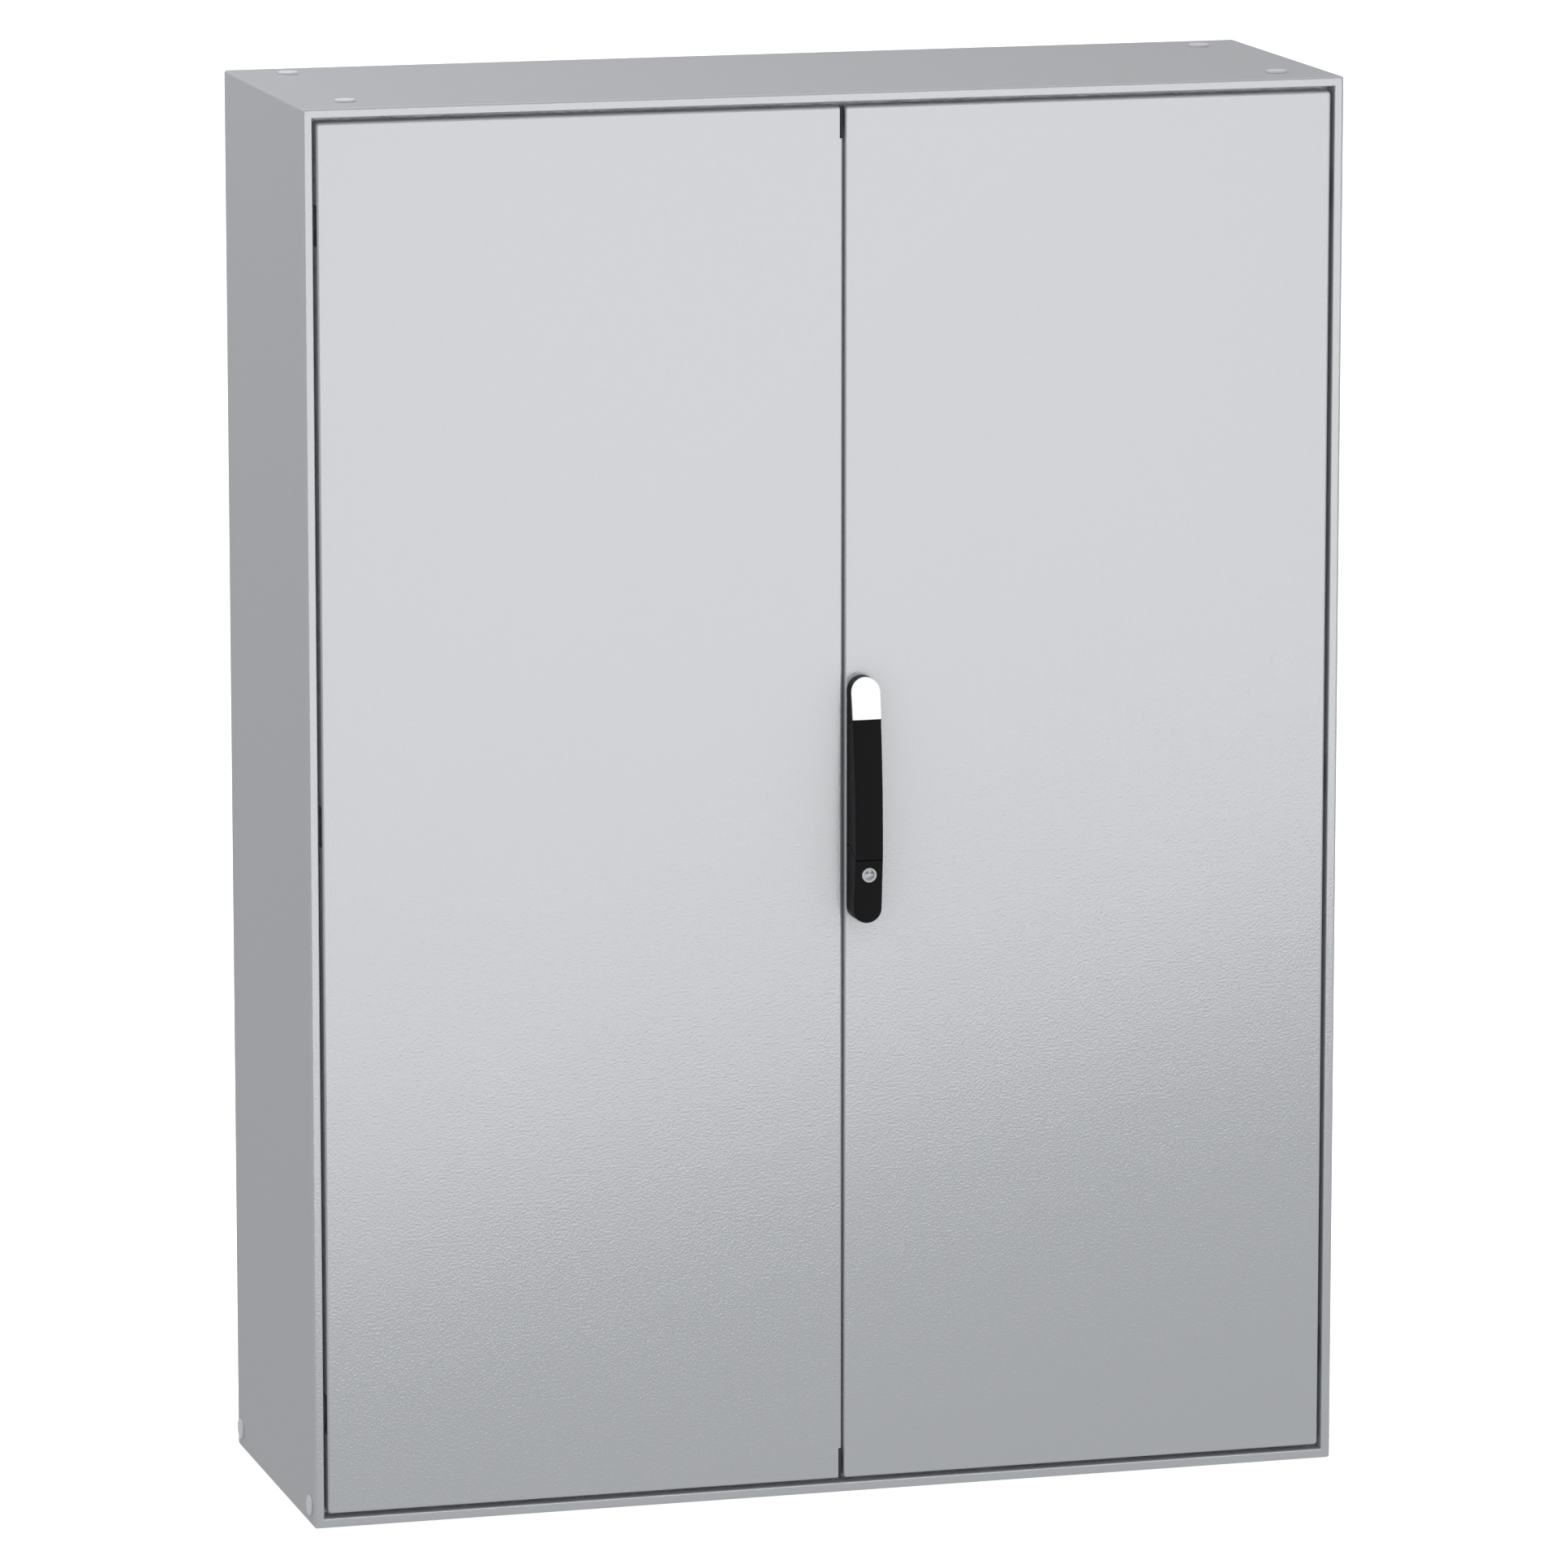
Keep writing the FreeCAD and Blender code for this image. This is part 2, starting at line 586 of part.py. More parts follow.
def stiffeners(tag, centres):
    """Perforated channels welded to the inside of a door face."""
    rails = []
    half, wall = dim("stiffener_width") / 2, case_sheet
    back = door_back + dim("stiffener_depth")
    low, high = dim("stiffener_end"), height - dim("stiffener_end")
    for number, centre in enumerate(centres, start=1):
        name = "%s_rail_%d" % (tag, number)
        left, right = centre - half, centre + half
        body = pad(name, "XY_Plane",
                   [(left, door_back), (left, back), (right, back), (right, door_back),
                    (right - wall, door_back), (right - wall, back - wall),
                    (left + wall, back - wall), (left + wall, door_back)], low, high)
        sketch = body.newObject("Sketcher::SketchObject", name + "_hole")
        sketch.AttachmentSupport = [(origin_item(body, "XZ_Plane"), "")]
        sketch.MapMode = "FlatFace"
        sketch.setExpression("AttachmentOffset.Base.z", (-(back + 1)).text)
        add_circle(sketch, centre, low + 34, dim("stiffener_hole"))
        hole = sink(body, name + "_bore", sketch, wall + 2, True)
        row = body.newObject("PartDesign::LinearPattern", name + "_row")
        row.Originals = [hole]
        row.Direction = (origin_item(body, "Z_Axis"), [""])
        count = int((high.value - low.value - 68) // SIZES["stiffener_pitch"]) + 1
        row.Length = SIZES["stiffener_pitch"] * (count - 1)
        row.Occurrences = count
        body.Tip = row
        rails.append(body)
    return group(tag + "_rails", rails)


def hinge_set(tag, way):
    """Three concealed hinges on one side. The arm stands on the gutter flange and reaches through
    the door's fold, and its knuckle turns between two lugs welded inside the door's edge.
    way is +1 for the left side, where +X leads into the cabinet, and -1 for the right side."""
    axis_x = -way * hinge_x
    knuckle, pin_radius = dim("hinge_knuckle"), dim("hinge_pin")
    foot_low, foot_high = size(-7.5), size(15)           # the foot, measured from the hinge axis
    foot_thick = 3
    arms, lugs, pins, screw_places = [], [], [], []
    for number, level in enumerate(hinge_levels, start=1):
        name = "%s_hinge_%d" % (tag, number)

        def span(low, high):
            """Two X places measured into the cabinet from the axis, in rising order."""
            return sorted((axis_x + way * size(low), axis_x + way * size(high)),
                          key=lambda value: value.value)

        reach = span(2.4, 8)
        foot = span(foot_low, foot_high)
        arm = fuse(name + "_arm", [
            box(name + "_web", (reach[0], door_back + 0.5, level - dim("arm_half")),
                (reach[1], gutter_floor - 1, level + dim("arm_half"))),
            rod(name + "_knuckle", (axis_x, hinge_y, level - dim("arm_half")), knuckle, dim("arm_half") * 2),
            box(name + "_foot", (foot[0], gutter_floor - foot_thick, level - 20),
                (foot[1], gutter_floor, level + 20)),
        ])
        bores = [rod(name + "_pin_bore", (axis_x, hinge_y, level - 30), pin_radius, 60)]
        for step in (-15, 15):
            spot = axis_x + way * 4
            bores.append(rod("%s_foot_bore_%d" % (name, step + 16), (spot, gutter_floor - 5, level + step),
                             2.6, 8, "+Y"))
            screw_places.append((spot, gutter_floor - foot_thick, level + step))
        arms.append(cut(name + "_arm_bored", arm, bores))
        block = span(-4.5, 6)
        for low, high in ((dim("lug_near"), dim("lug_far")), (-dim("lug_far"), -dim("lug_near"))):
            lug_name = "%s_lug_%d" % (name, 1 if low.value > 0 else 2)
            lug = box(lug_name, (block[0], door_back, level + low), (block[1], door_back + 7, level + high))
            lugs.append(cut(lug_name + "_bored", lug,
                            [rod(lug_name + "_bore", (axis_x, hinge_y, level - 40),
                                 pin_radius + dim("hinge_running"), 80)]))
        pins.append(rod(name + "_pin", (axis_x, hinge_y, level - 22), pin_radius, 44))
    node(group(tag + "_arms", arms), tag + "_hinge_arms")
    node(group(tag + "_lugs", lugs), tag + "_hinge_lugs")
    return pins, screw_places


def hinges():
    left_pins, left_screws = hinge_set("left", 1)
    right_pins, right_screws = hinge_set("right", -1)
    node(group("hinge_pins_group", left_pins + right_pins), "hinge_pins")
    screw = screw_kit("hinge_screw", 4, 2.4, 2.5, 2.9, 1.7)
    node(scatter("hinge_screws_group", screw, left_screws + right_screws, TURNS["-Y"]), "hinge_screws")


def doors():
    guide_w, guide_h = dim("guide_width"), dim("guide_height")
    left = door_panel("left", left_door_edge, left_door_inner)
    inside_fold = front + dim("door_fold") + 1
    notches = [box("guide_notch_low", (left_door_inner - guide_w, front - 1, door_low - 1),
                   (left_door_inner + 1, inside_fold, door_low + guide_h)),
               box("guide_notch_high", (left_door_inner - guide_w, front - 1, door_high - guide_h),
                   (left_door_inner + 1, inside_fold, door_high + 1))]
    node(cut("left_door", left, door_tools("left", left_door_edge) + notches), "left_door_panel")
    guides = [box("edge_guide_low", (left_door_inner - guide_w + 0.1, front + 0.4, door_low),
                  (left_door_inner, front + dim("inner_fold"), door_low + guide_h - 0.2)),
              box("edge_guide_high", (left_door_inner - guide_w + 0.1, front + 0.4, door_high - guide_h + 0.2),
                  (left_door_inner, front + dim("inner_fold"), door_high))]
    node(group("edge_guides", guides), "left_door_edge_guides")

    right = door_panel("right", right_door_edge, right_door_inner)
    bores = [rod("spindle_bore", (handle_x, front - 1, spindle_z), dim("neck_radius") + 1, 4, "+Y")]
    bores += [rod("handle_bore_%d" % number, (handle_x, front - 1, level), 2.8, 4, "+Y")
              for number, level in enumerate(handle_screw_levels(), start=1)]
    node(cut("right_door", right, door_tools("right", right_door_edge) + bores), "right_door_panel")

    lip_line = half_width - lip_reach + case_sheet / 2
    node(door_seal("left", -lip_line, left_door_inner - guide_w - 0.4, dim("post_left") + 0.5),
         "left_door_seal")
    node(door_seal("right", lip_line, right_door_inner + 1.8, dim("post_right")), "right_door_seal")
    node(stiffeners("left", [-half_width + 65, dim("gap_centre") - 100]), "left_door_stiffeners")
    node(stiffeners("right", [half_width - 65, dim("gap_centre") + 100]), "right_door_stiffeners")


# ---------------------------------------------------------------- handle

def handle_screw_levels():
    return [dim("handle_top") - 72, dim("lock_z") - 34]


def stadium(name, radius, top, bottom, start, length, taper=0.0):
    """An upright slot shape extruded towards the front, narrowing by a taper in degrees."""
    radius, top, bottom = size(radius), size(top), size(bottom)
    body = document.addObject("Part::Feature", name)
    high, low = top.value - radius.value, bottom.value + radius.value
    x, r = handle_x.value, radius.value
    y = size(start).value
    wire = Part.Wire([
        Part.LineSegment(Vector(x + r, y, low), Vector(x + r, y, high)).toShape(),
        Part.Arc(Vector(x + r, y, high), Vector(x, y, high + r), Vector(x - r, y, high)).toShape(),
        Part.LineSegment(Vector(x - r, y, high), Vector(x - r, y, low)).toShape(),
        Part.Arc(Vector(x - r, y, low), Vector(x, y, low - r), Vector(x + r, y, low)).toShape(),
    ])
    if taper:
        inset = size(length).value * math.tan(math.radians(taper))
        small = Part.Wire([
            Part.LineSegment(Vector(x + r - inset, y - size(length).value, low),
                             Vector(x + r - inset, y - size(length).value, high)).toShape(),
            Part.Arc(Vector(x + r - inset, y - size(length).value, high),
                     Vector(x, y - size(length).value, high + r - inset),
                     Vector(x - r + inset, y - size(length).value, high)).toShape(),
            Part.LineSegment(Vector(x - r + inset, y - size(length).value, high),
                             Vector(x - r + inset, y - size(length).value, low)).toShape(),
            Part.Arc(Vector(x - r + inset, y - size(length).value, low),
                     Vector(x, y - size(length).value, low - r + inset),
                     Vector(x + r - inset, y - size(length).value, low)).toShape(),
        ])
        body.Shape = Part.makeLoft([wire, small], True, True)
    else:
        body.Shape = Part.Face(wire).extrude(Vector(0, -size(length).value, 0))
    return body


def slab(name, edges):
    """A side profile in Y and Z, given as edges, carried across the handle's whole width."""
    item = document.addObject("Part::Feature", name)
    half = SIZES["handle_half"] + 2
    face = Part.Face(Part.Wire(edges))
    item.Shape = face.extrude(Vector(2 * half, 0, 0))
    item.Placement = FreeCAD.Placement(Vector(handle_x.value - half, 0, 0), FreeCAD.Rotation())
    return item


def crest(z):
    """Height of the handle's back above the door at a level: an arc over lever and head, and a
    straight ramp down the block below the seam."""
    seam = SIZES["lever_seam"]
    drop = max(z, seam) - SIZES["crest_z"]
    back = SIZES["handle_crest"] - drop * drop / (2 * SIZES["crest_radius"])
    slope = (back - SIZES["block_foot"]) / (seam - SIZES["handle_bottom"])
    return back - slope * max(seam - z, 0)


def side_edges(points):
    """Edges through (height above the door, z) pairs. A triple's third item marks the middle of
    an arc that ends at the following pair."""
    vectors = [Vector(0, front.value - h, z) for h, z, *rest in points]
    marks = [bool(rest) for h, z, *rest in points]
    edges, index = [], 0
    count = len(points)
    while index < count:
        following = (index + 1) % count
        if marks[following]:
            last = (index + 2) % count
            edges.append(Part.Arc(vectors[index], vectors[following], vectors[last]).toShape())
            index += 2
        else:
            edges.append(Part.LineSegment(vectors[index], vectors[following]).toShape())
            index += 1
    return edges


def around_lift(radius, angle):
    """A point at a radius from the lift pin, at an angle up from straight down."""
    turn = math.radians(angle)
    return (SIZES["lift_height"] + radius * math.sin(turn), SIZES["lift_z"] - radius * math.cos(turn))


def lift_angle(height_above, radius):
    """The angle at which a circle about the lift pin reaches a height above the door."""
    return math.degrees(math.asin((height_above - SIZES["lift_height"]) / radius))


def handle():
    """A swing handle: a fixed base with the lock's block, a head that turns on the spindle axis
    under a light cap, and a lever hinged to the head, which lifts before it turns."""
    seal = SIZES["handle_seal"]
    top, bottom, seam = SIZES["handle_top"], SIZES["handle_bottom"], SIZES["lever_seam"]
    cap_seam = SIZES["cap_seam"]
    plate_top = seal + SIZES["base_plate"]
    skirt = SIZES["handle_skirt"]
    seal_sheet = stadium("handle_seal_sheet", dim("handle_half"), dim("handle_top"),
                         dim("handle_bottom"), front, dim("handle_seal"))
    seal_bores = [rod("seal_neck_bore", (handle_x, front - seal - 1, spindle_z),
                      dim("neck_radius") + 1, 4, "+Y")]
    seal_bores += [rod("seal_screw_bore_%d" % number, (handle_x, front - seal - 1, level), 2.8, 4, "+Y")
                   for number, level in enumerate(handle_screw_levels(), start=1)]
    node(cut("handle_seal_part", seal_sheet, seal_bores), "handle_seal")
    envelope = fuse("handle_envelope", [
        stadium("handle_skirt_shape", dim("handle_half"), dim("handle_top"), dim("handle_bottom"),
                front - dim("handle_seal"), dim("handle_skirt") - dim("handle_seal")),
        stadium("handle_upper_shape", dim("handle_half"), dim("handle_top"), dim("handle_bottom"),
                front - dim("handle_skirt"), 24, SIZES["handle_taper"]),
    ])

    # The block's nose runs back under the lever's tip: a curve from the seam down to the base.
    nose_z, nose_mid = seam + 14, seam + 6
    gap = SIZES["seam_gap"]
    block_side = slab("block_side", side_edges([
        (seal, bottom - 1), (crest(bottom), bottom - 1), (crest(seam - gap), seam - gap),
        (28.5, nose_mid - gap - 0.7, "arc"), (skirt, nose_z - gap), (plate_top, nose_z - gap),
        (seal, nose_z - gap)]))
    plate_side = slab("plate_side", side_edges([
        (seal, nose_z - gap - 2), (plate_top, nose_z - gap - 2), (plate_top, top + 1), (seal, top + 1)]))
    base = fuse("handle_base_blank", [common("block_shape", [envelope, block_side]),
                                      common("plate_shape", [envelope, plate_side])])
    lock_z, lock_radius = dim("lock_z"), dim("lock_radius")
    tools = [
        rod("neck_bore", (handle_x, front - seal - SIZES["base_plate"] - 1, spindle_z),
            dim("neck_radius") + 0.05, 6, "+Y"),
        rod("lock_bore", (handle_x, front - 40, lock_z), lock_radius, 22, "+Y"),
        rod("lock_room", (handle_x, front - 18.1, lock_z), 14, 18, "+Y"),
    ]
    tools += [rod("base_screw_bore_%d" % number, (handle_x, front - 2.4, level), 2.5, 4, "+Y")
              for number, level in enumerate(handle_screw_levels(), start=1)]
    node(cut("handle_base_part", base, tools), "handle_base")

    # head and cap: below the seam the head ends in an arc about the lift pin, which the lever follows
    reach = SIZES["knuckle_reach"]
    seam_angle = lift_angle(crest(cap_seam), reach)
    low_gap = 0.5
    head_floor = plate_top + low_gap
    floor_angle = lift_angle(head_floor, reach)
    seam_point = around_lift(reach, seam_angle)
    skin = SIZES["cap_skin"]
    skin_angle = lift_angle(seam_point[0] - skin, reach)
    top_mid = (seam_point[1] + top) / 2
    head_side = slab("head_side", side_edges([
        (head_floor, top + 1), (crest(top + 1) - skin, top + 1),
        (crest(top_mid) - skin, top_mid, "arc"), (seam_point[0] - skin, seam_point[1]),
        around_lift(reach, skin_angle), around_lift(reach, (skin_angle + floor_angle) / 2) + ("arc",),
        around_lift(reach, floor_angle)]))
    cap_side = slab("cap_side", side_edges([
        (crest(top + 1) - skin, top + 1), (crest(top + 1), top + 1),
        (crest(top_mid), top_mid, "arc"), seam_point, (seam_point[0] - skin, seam_point[1]),
        (crest(top_mid) - skin, top_mid, "arc")]))
    neck = rod("head_neck", (handle_x, front - plate_top - low_gap - 1, spindle_z), dim("neck_radius"),
               plate_top + low_gap + 1, "+Y")
    head_blank = fuse("head_blank", [common("head_shape", [envelope, head_side]), neck])
    slot = dim("lug_slot")
    pin_z, pin_y = dim("lift_z"), front - dim("lift_height")
    head_tools = [
        box("lug_room", (handle_x - slot, front - 23.2, cap_seam - 10),
            (handle_x + slot, front - head_floor + 1, pin_z + 6.5)),
        rod("pin_bore", (handle_x - 12, pin_y, pin_z), dim("lift_pin"), 24, "+X"),
        box("spindle_room", (handle_x - dim("spindle_square") / 2, front - 9,
                             spindle_z - dim("spindle_square") / 2),
            (handle_x + dim("spindle_square") / 2, front + 5, spindle_z + dim("spindle_square") / 2)),
    ]
    node(cut("handle_head_part", head_blank, head_tools), "handle_head")
    node(common("cap_shape", [envelope, cap_side]), "head_cap")
    node(rod("lever_pin_bar", (handle_x - 12, pin_y, pin_z), dim("lift_pin"), 24, "+X"), "lever_pin")
    square = dim("spindle_square") / 2
    node(box("spindle_bar", (handle_x - square, front - 9, spindle_z - square),
             (handle_x + square, dim("drive_rear") + 1.5, spindle_z + square)), "handle_spindle")

    # lever: its upper end is hollowed about the lift pin and its lug reaches into the head
    lever_reach = reach + 0.5
    lever_floor = plate_top + 0.5
    lever_top_angle = lift_angle(crest(cap_seam), lever_reach)
    upper = around_lift(lever_reach, lever_top_angle)
    lower_angle = lift_angle(lever_floor, lever_reach)
    crest_mid = (seam + upper[1]) / 2
    lever_side = slab("lever_side", side_edges([
        (lever_floor, nose_z), (skirt, nose_z), (28.5, nose_mid - 0.7, "arc"), (crest(seam), seam),
        (crest(crest_mid), crest_mid, "arc"), upper,
        around_lift(lever_reach, (lever_top_angle + lower_angle) / 2) + ("arc",),
        around_lift(lever_reach, lower_angle)]))
    lug = dim("lug_half")
    thick = dim("lug_thick")
    lever_blank = fuse("lever_blank", [
        common("lever_shape", [envelope, lever_side]),
        box("lever_lug", (handle_x - lug, pin_y - thick, cap_seam - 8), (handle_x + lug, pin_y + thick, pin_z)),
        rod("lever_lug_eye", (handle_x - lug, pin_y, pin_z), thick, lug * 2, "+X"),
    ])
    node(cut("handle_lever_part", lever_blank,
             [rod("lever_lug_bore", (handle_x - 13, pin_y, pin_z), dim("lift_pin") + 0.05, 26, "+X")]),
         "handle_lever")

    # lock: a double-bar insert in the block, with a cam behind it
    insert_front = front - crest(SIZES["lock_z"]) + 0.8
    insert = rod("insert_body", (handle_x, insert_front, lock_z), lock_radius - 0.05,
                 front - insert_front - 17.6, "+Y")
    key_room = rod("key_room", (handle_x, insert_front - 1, lock_z), 5.6, 9, "+Y")
    core = rod("key_core", (handle_x, insert_front + 1.5, lock_z), 2.6, 7, "+Y")
    bars = box("key_bars", (handle_x - 5.6, insert_front + 1.5, lock_z - 1),
               (handle_x + 5.6, insert_front + 8, lock_z + 1))
    node(cut("insert_shape", insert, [cut("key_recess", key_room, [fuse("key_male", [core, bars])])]),
         "lock_insert")
    cam_y = front - 17.6
    cam = fuse("cam_shape", [rod("cam_hub", (handle_x, cam_y, lock_z), 7, 3, "+Y"),
                             box("cam_tongue", (handle_x - 4, cam_y, lock_z - 13),
                                 (handle_x + 4, cam_y + 3, lock_z))])
    node(cam, "lock_cam")
    screw = screw_kit("handle_screw", 4.5, 3, 2.4, 3.6, 2)
    node(scatter("handle_screws_group", screw,
                 [(handle_x, door_back, level) for level in handle_screw_levels()], TURNS["+Y"]),
         "handle_screws")


# ---------------------------------------------------------------- rod lock

def involute_point(base, radius, offset):
    """A point on an involute of a base circle, at a radius, turned by an offset in radians."""
    if radius <= base:
        angle = offset
    else:
        pressure = math.acos(base / radius)
        angle = offset - (math.tan(pressure) - pressure)
    return radius * math.cos(angle), radius * math.sin(angle)


def gear_outline(teeth, turned=0.0):
    """Corner points of a spur gear with one tooth centred on angle zero, turned by a part of a
    tooth pitch."""
    module = SIZES["gear_module"]
    pressure = math.radians(SIZES["pressure_angle"])
    pitch = module * teeth / 2
    base = pitch * math.cos(pressure)
    root, tip = pitch - 1.25 * module, pitch + module
    half_tooth = math.pi / (2 * teeth) - SIZES["gear_backlash"] / (4 * pitch)
    half_base = half_tooth + math.tan(pressure) - pressure
    start = max(base, root)
    radii = [root] + [start + (tip - start) * step / 6 for step in range(7)]
    flank = [involute_point(base, radius, half_base) for radius in radii]
    points = []
    for number in range(teeth):
        turn = 2 * math.pi * (number + turned) / teeth
        tooth = [(x, -y) for x, y in flank] + list(reversed(flank))
        points += [(x * math.cos(turn) - y * math.sin(turn), x * math.sin(turn) + y * math.cos(turn))
                   for x, y in tooth]
    return points


def spur_gear(name, teeth, x, front_y, rear_y, turned=0.0):
    """A spur gear about a Y axis at spindle height."""
    corners = [Vector(px, 0, pz) for px, pz in gear_outline(teeth, turned)]
    item = document.addObject("Part::Feature", name)
    item.Shape = Part.Face(Part.makePolygon(corners + corners[:1])).extrude(Vector(0, rear_y - front_y, 0))
    item.Placement = FreeCAD.Placement(Vector(x.value, front_y, spindle_z.value), FreeCAD.Rotation())
    return item


def rack_teeth(name, pitch_x, way, first, last):
    """A row of rack teeth whose pitch line is at pitch_x. They point towards way (+1 or -1 in X).
    first and last count tooth pitches from the gear's height, where the rack has a space."""
    module = SIZES["gear_module"]
    pitch = math.pi * module
    slope = math.tan(math.radians(SIZES["pressure_angle"]))
    half = pitch / 4 - SIZES["gear_backlash"] / 4
    tip, root = module, 1.25 * module
    solids = []
    for number in range(first, last + 1):
        centre = spindle_z.value + (number + 0.5) * pitch
        wide, narrow = half + root * slope, half - tip * slope
        corners = [Vector(pitch_x - way * (root + 0.2), 0, centre - wide - 0.2 * slope),
                   Vector(pitch_x + way * tip, 0, centre - narrow),
                   Vector(pitch_x + way * tip, 0, centre + narrow),
                   Vector(pitch_x - way * (root + 0.2), 0, centre + wide + 0.2 * slope)]
        face = Part.Face(Part.makePolygon(corners + corners[:1]))
        solids.append(face.extrude(Vector(0, SIZES["rod_rear"] - SIZES["rod_front"], 0)))
    item = document.addObject("Part::Feature", name)
    item.Shape = Part.makeCompound(solids)
    item.Placement = FreeCAD.Placement(Vector(0, SIZES["rod_front"], 0), FreeCAD.Rotation())
    return item


def rod_lock():
    """Behind the door the spindle drives a gear pair. The second gear moves one locking rod up and
    the other down, by racks on either side of it."""
    teeth, drive_front, drive_rear = SIZES["drive_teeth"], SIZES["drive_front"], SIZES["drive_rear"]
    drive = spur_gear("drive_gear_blank", teeth, handle_x, drive_front, drive_rear)
    square = dim("spindle_square") / 2 + 0.02
    node(cut("drive_gear_part", drive, [box("drive_gear_square",
             (handle_x - square, dim("drive_front") - 1, spindle_z - square),
             (handle_x + square, dim("drive_rear") + 1, spindle_z + square))]), "drive_gear")
    pinion_front = SIZES["rod_front"] - 1
    transfer = fuse("transfer_gear_blank", [
        spur_gear("transfer_wheel", teeth, transfer_x, drive_front, drive_rear, 0.5),
        rod("transfer_hub", (transfer_x, drive_rear, spindle_z), 5.5, pinion_front - drive_rear, "+Y"),
        spur_gear("transfer_pinion", SIZES["rack_teeth"], transfer_x, pinion_front, SIZES["rod_rear"] + 0.5)])
    axle_radius = 3
    node(cut("transfer_gear_part", transfer, [rod("transfer_bore", (transfer_x, front, spindle_z),
                                                  axle_radius + 0.05, 50, "+Y")]), "transfer_gear")
    wall = dim("box_wall")
    front_y, rear_y = dim("box_front"), dim("box_rear")
    node(rod("transfer_axle_bar", (transfer_x, front_y + wall, spindle_z), axle_radius,
             rear_y - front_y - wall, "+Y"), "transfer_axle")

    left, right, half = dim("box_left"), dim("box_right"), dim("box_half")
    gap = dim("rod_gap")
    width = dim("rod_width")
    root = dim("gear_module") * 1.25
    upper_x = (upper_rod_low + root, upper_rod_low + root + width)
    lower_x = (lower_rod_high - root - width, lower_rod_high - root)
    shell = box("gearbox_outer", (left, front_y, spindle_z - half), (right, rear_y, spindle_z + half))
    tools = [
        box("gearbox_inner", (left + wall, front_y + wall, spindle_z - half + wall),
            (right - wall, rear_y + 1, spindle_z + half - wall)),
        rod("gearbox_bore", (handle_x, front_y - 1, spindle_z), 6.2, 5, "+Y"),
        box("upper_rod_room", (upper_x[0] - 4, dim("rod_front") - gap, spindle_z + half - 4),
            (upper_x[1] + gap, rear_y + 1, spindle_z + half + 1)),
        box("lower_rod_room", (lower_x[0] - gap, dim("rod_front") - gap, spindle_z - half - 1),
            (lower_x[1] + 4, rear_y + 1, spindle_z - half + 4)),
    ]
    corner = 5.5
    places = [(x, y) for x in (left + corner, right - corner)
              for y in (spindle_z - half + corner, spindle_z + half - corner)]
    posts = [rod("gearbox_post_%d" % number, (x, front_y + 1, z), 3.6, rear_y - front_y - 1, "+Y")
             for number, (x, z) in enumerate([places[1], places[2]], start=1)]
    housing = fuse("gearbox_blank", [cut("gearbox_shell", shell, tools)] + posts)
    screw_bores = [rod("gearbox_screw_bore_%d" % number, (x, rear_y - 8, z), 1.5, 12, "+Y")
                   for number, (x, z) in enumerate([places[1], places[2]], start=1)]
    node(cut("gearbox_housing_part", housing, screw_bores), "gearbox_housing")
    cover = box("gearbox_cover_sheet", (left, rear_y, spindle_z - half), (right, rear_y + 2, spindle_z + half))
    cover_bores = [rod("cover_bore_%d" % number, (x, rear_y - 1, z), 1.7, 5, "+Y")
                   for number, (x, z) in enumerate([places[1], places[2]], start=1)]
    node(cut("gearbox_cover_part", cover, cover_bores), "gearbox_cover")
    screw = screw_kit("gearbox_screw", 3, 2, 1.5, 8, 1.2)
    node(scatter("gearbox_screws_group", screw,
                 [(x, rear_y + 2, z) for x, z in [places[1], places[2]]], TURNS["+Y"]), "gearbox_screws")

    rod_front, rod_rear = dim("rod_front"), dim("rod_rear")
    tip = 8
    upper = pad("upper_bar", "XZ_Plane",
                [(upper_x[0], spindle_z - 14), (upper_x[1], spindle_z - 14), (upper_x[1], rod_top - tip),
                 (upper_x[1] - 2.5, rod_top), (upper_x[0] + 2.5, rod_top), (upper_x[0], rod_top - tip)],
                rod_front, rod_rear)
    lower = pad("lower_bar", "XZ_Plane",
                [(lower_x[0], spindle_z + 14), (lower_x[1], spindle_z + 14), (lower_x[1], rod_bottom + tip),
                 (lower_x[1] - 2.5, rod_bottom), (lower_x[0] + 2.5, rod_bottom), (lower_x[0], rod_bottom + tip)],
                rod_front, rod_rear)
    upper_teeth = rack_teeth("upper_teeth", upper_rod_low.value, -1, -3, 6)
    lower_teeth = rack_teeth("lower_teeth", lower_rod_high.value, 1, -7, 2)
    node(fuse("upper_rod_part", [upper, upper_teeth]), "upper_rod")
    node(fuse("lower_rod_part", [lower, lower_teeth]), "lower_rod")

    guides = []
    side = dim("guide_side")
    for tag, xs, levels in (("upper", upper_x, (1160, 1490)), ("lower", lower_x, (110, 420))):
        for number, level in enumerate(levels, start=1):
            name = "%s_guide_%d" % (tag, number)
            block = box(name, (xs[0] - side, door_back, level - 12), (xs[1] + side, rod_rear + gap + 3, level + 12))
            guides.append(cut(name + "_slotted", block, [
                box(name + "_slot", (xs[0] - gap, rod_front - gap, level - 13),
                    (xs[1] + gap, rod_rear + gap, level + 13)),
                box(name + "_relief", (xs[0] - gap, door_back + 3, level - 13),
                    (xs[1] + gap, rod_front - gap - 3, level + 13))]))
    node(group("rod_guides_group", guides), "rod_guides")
    return upper_x, lower_x


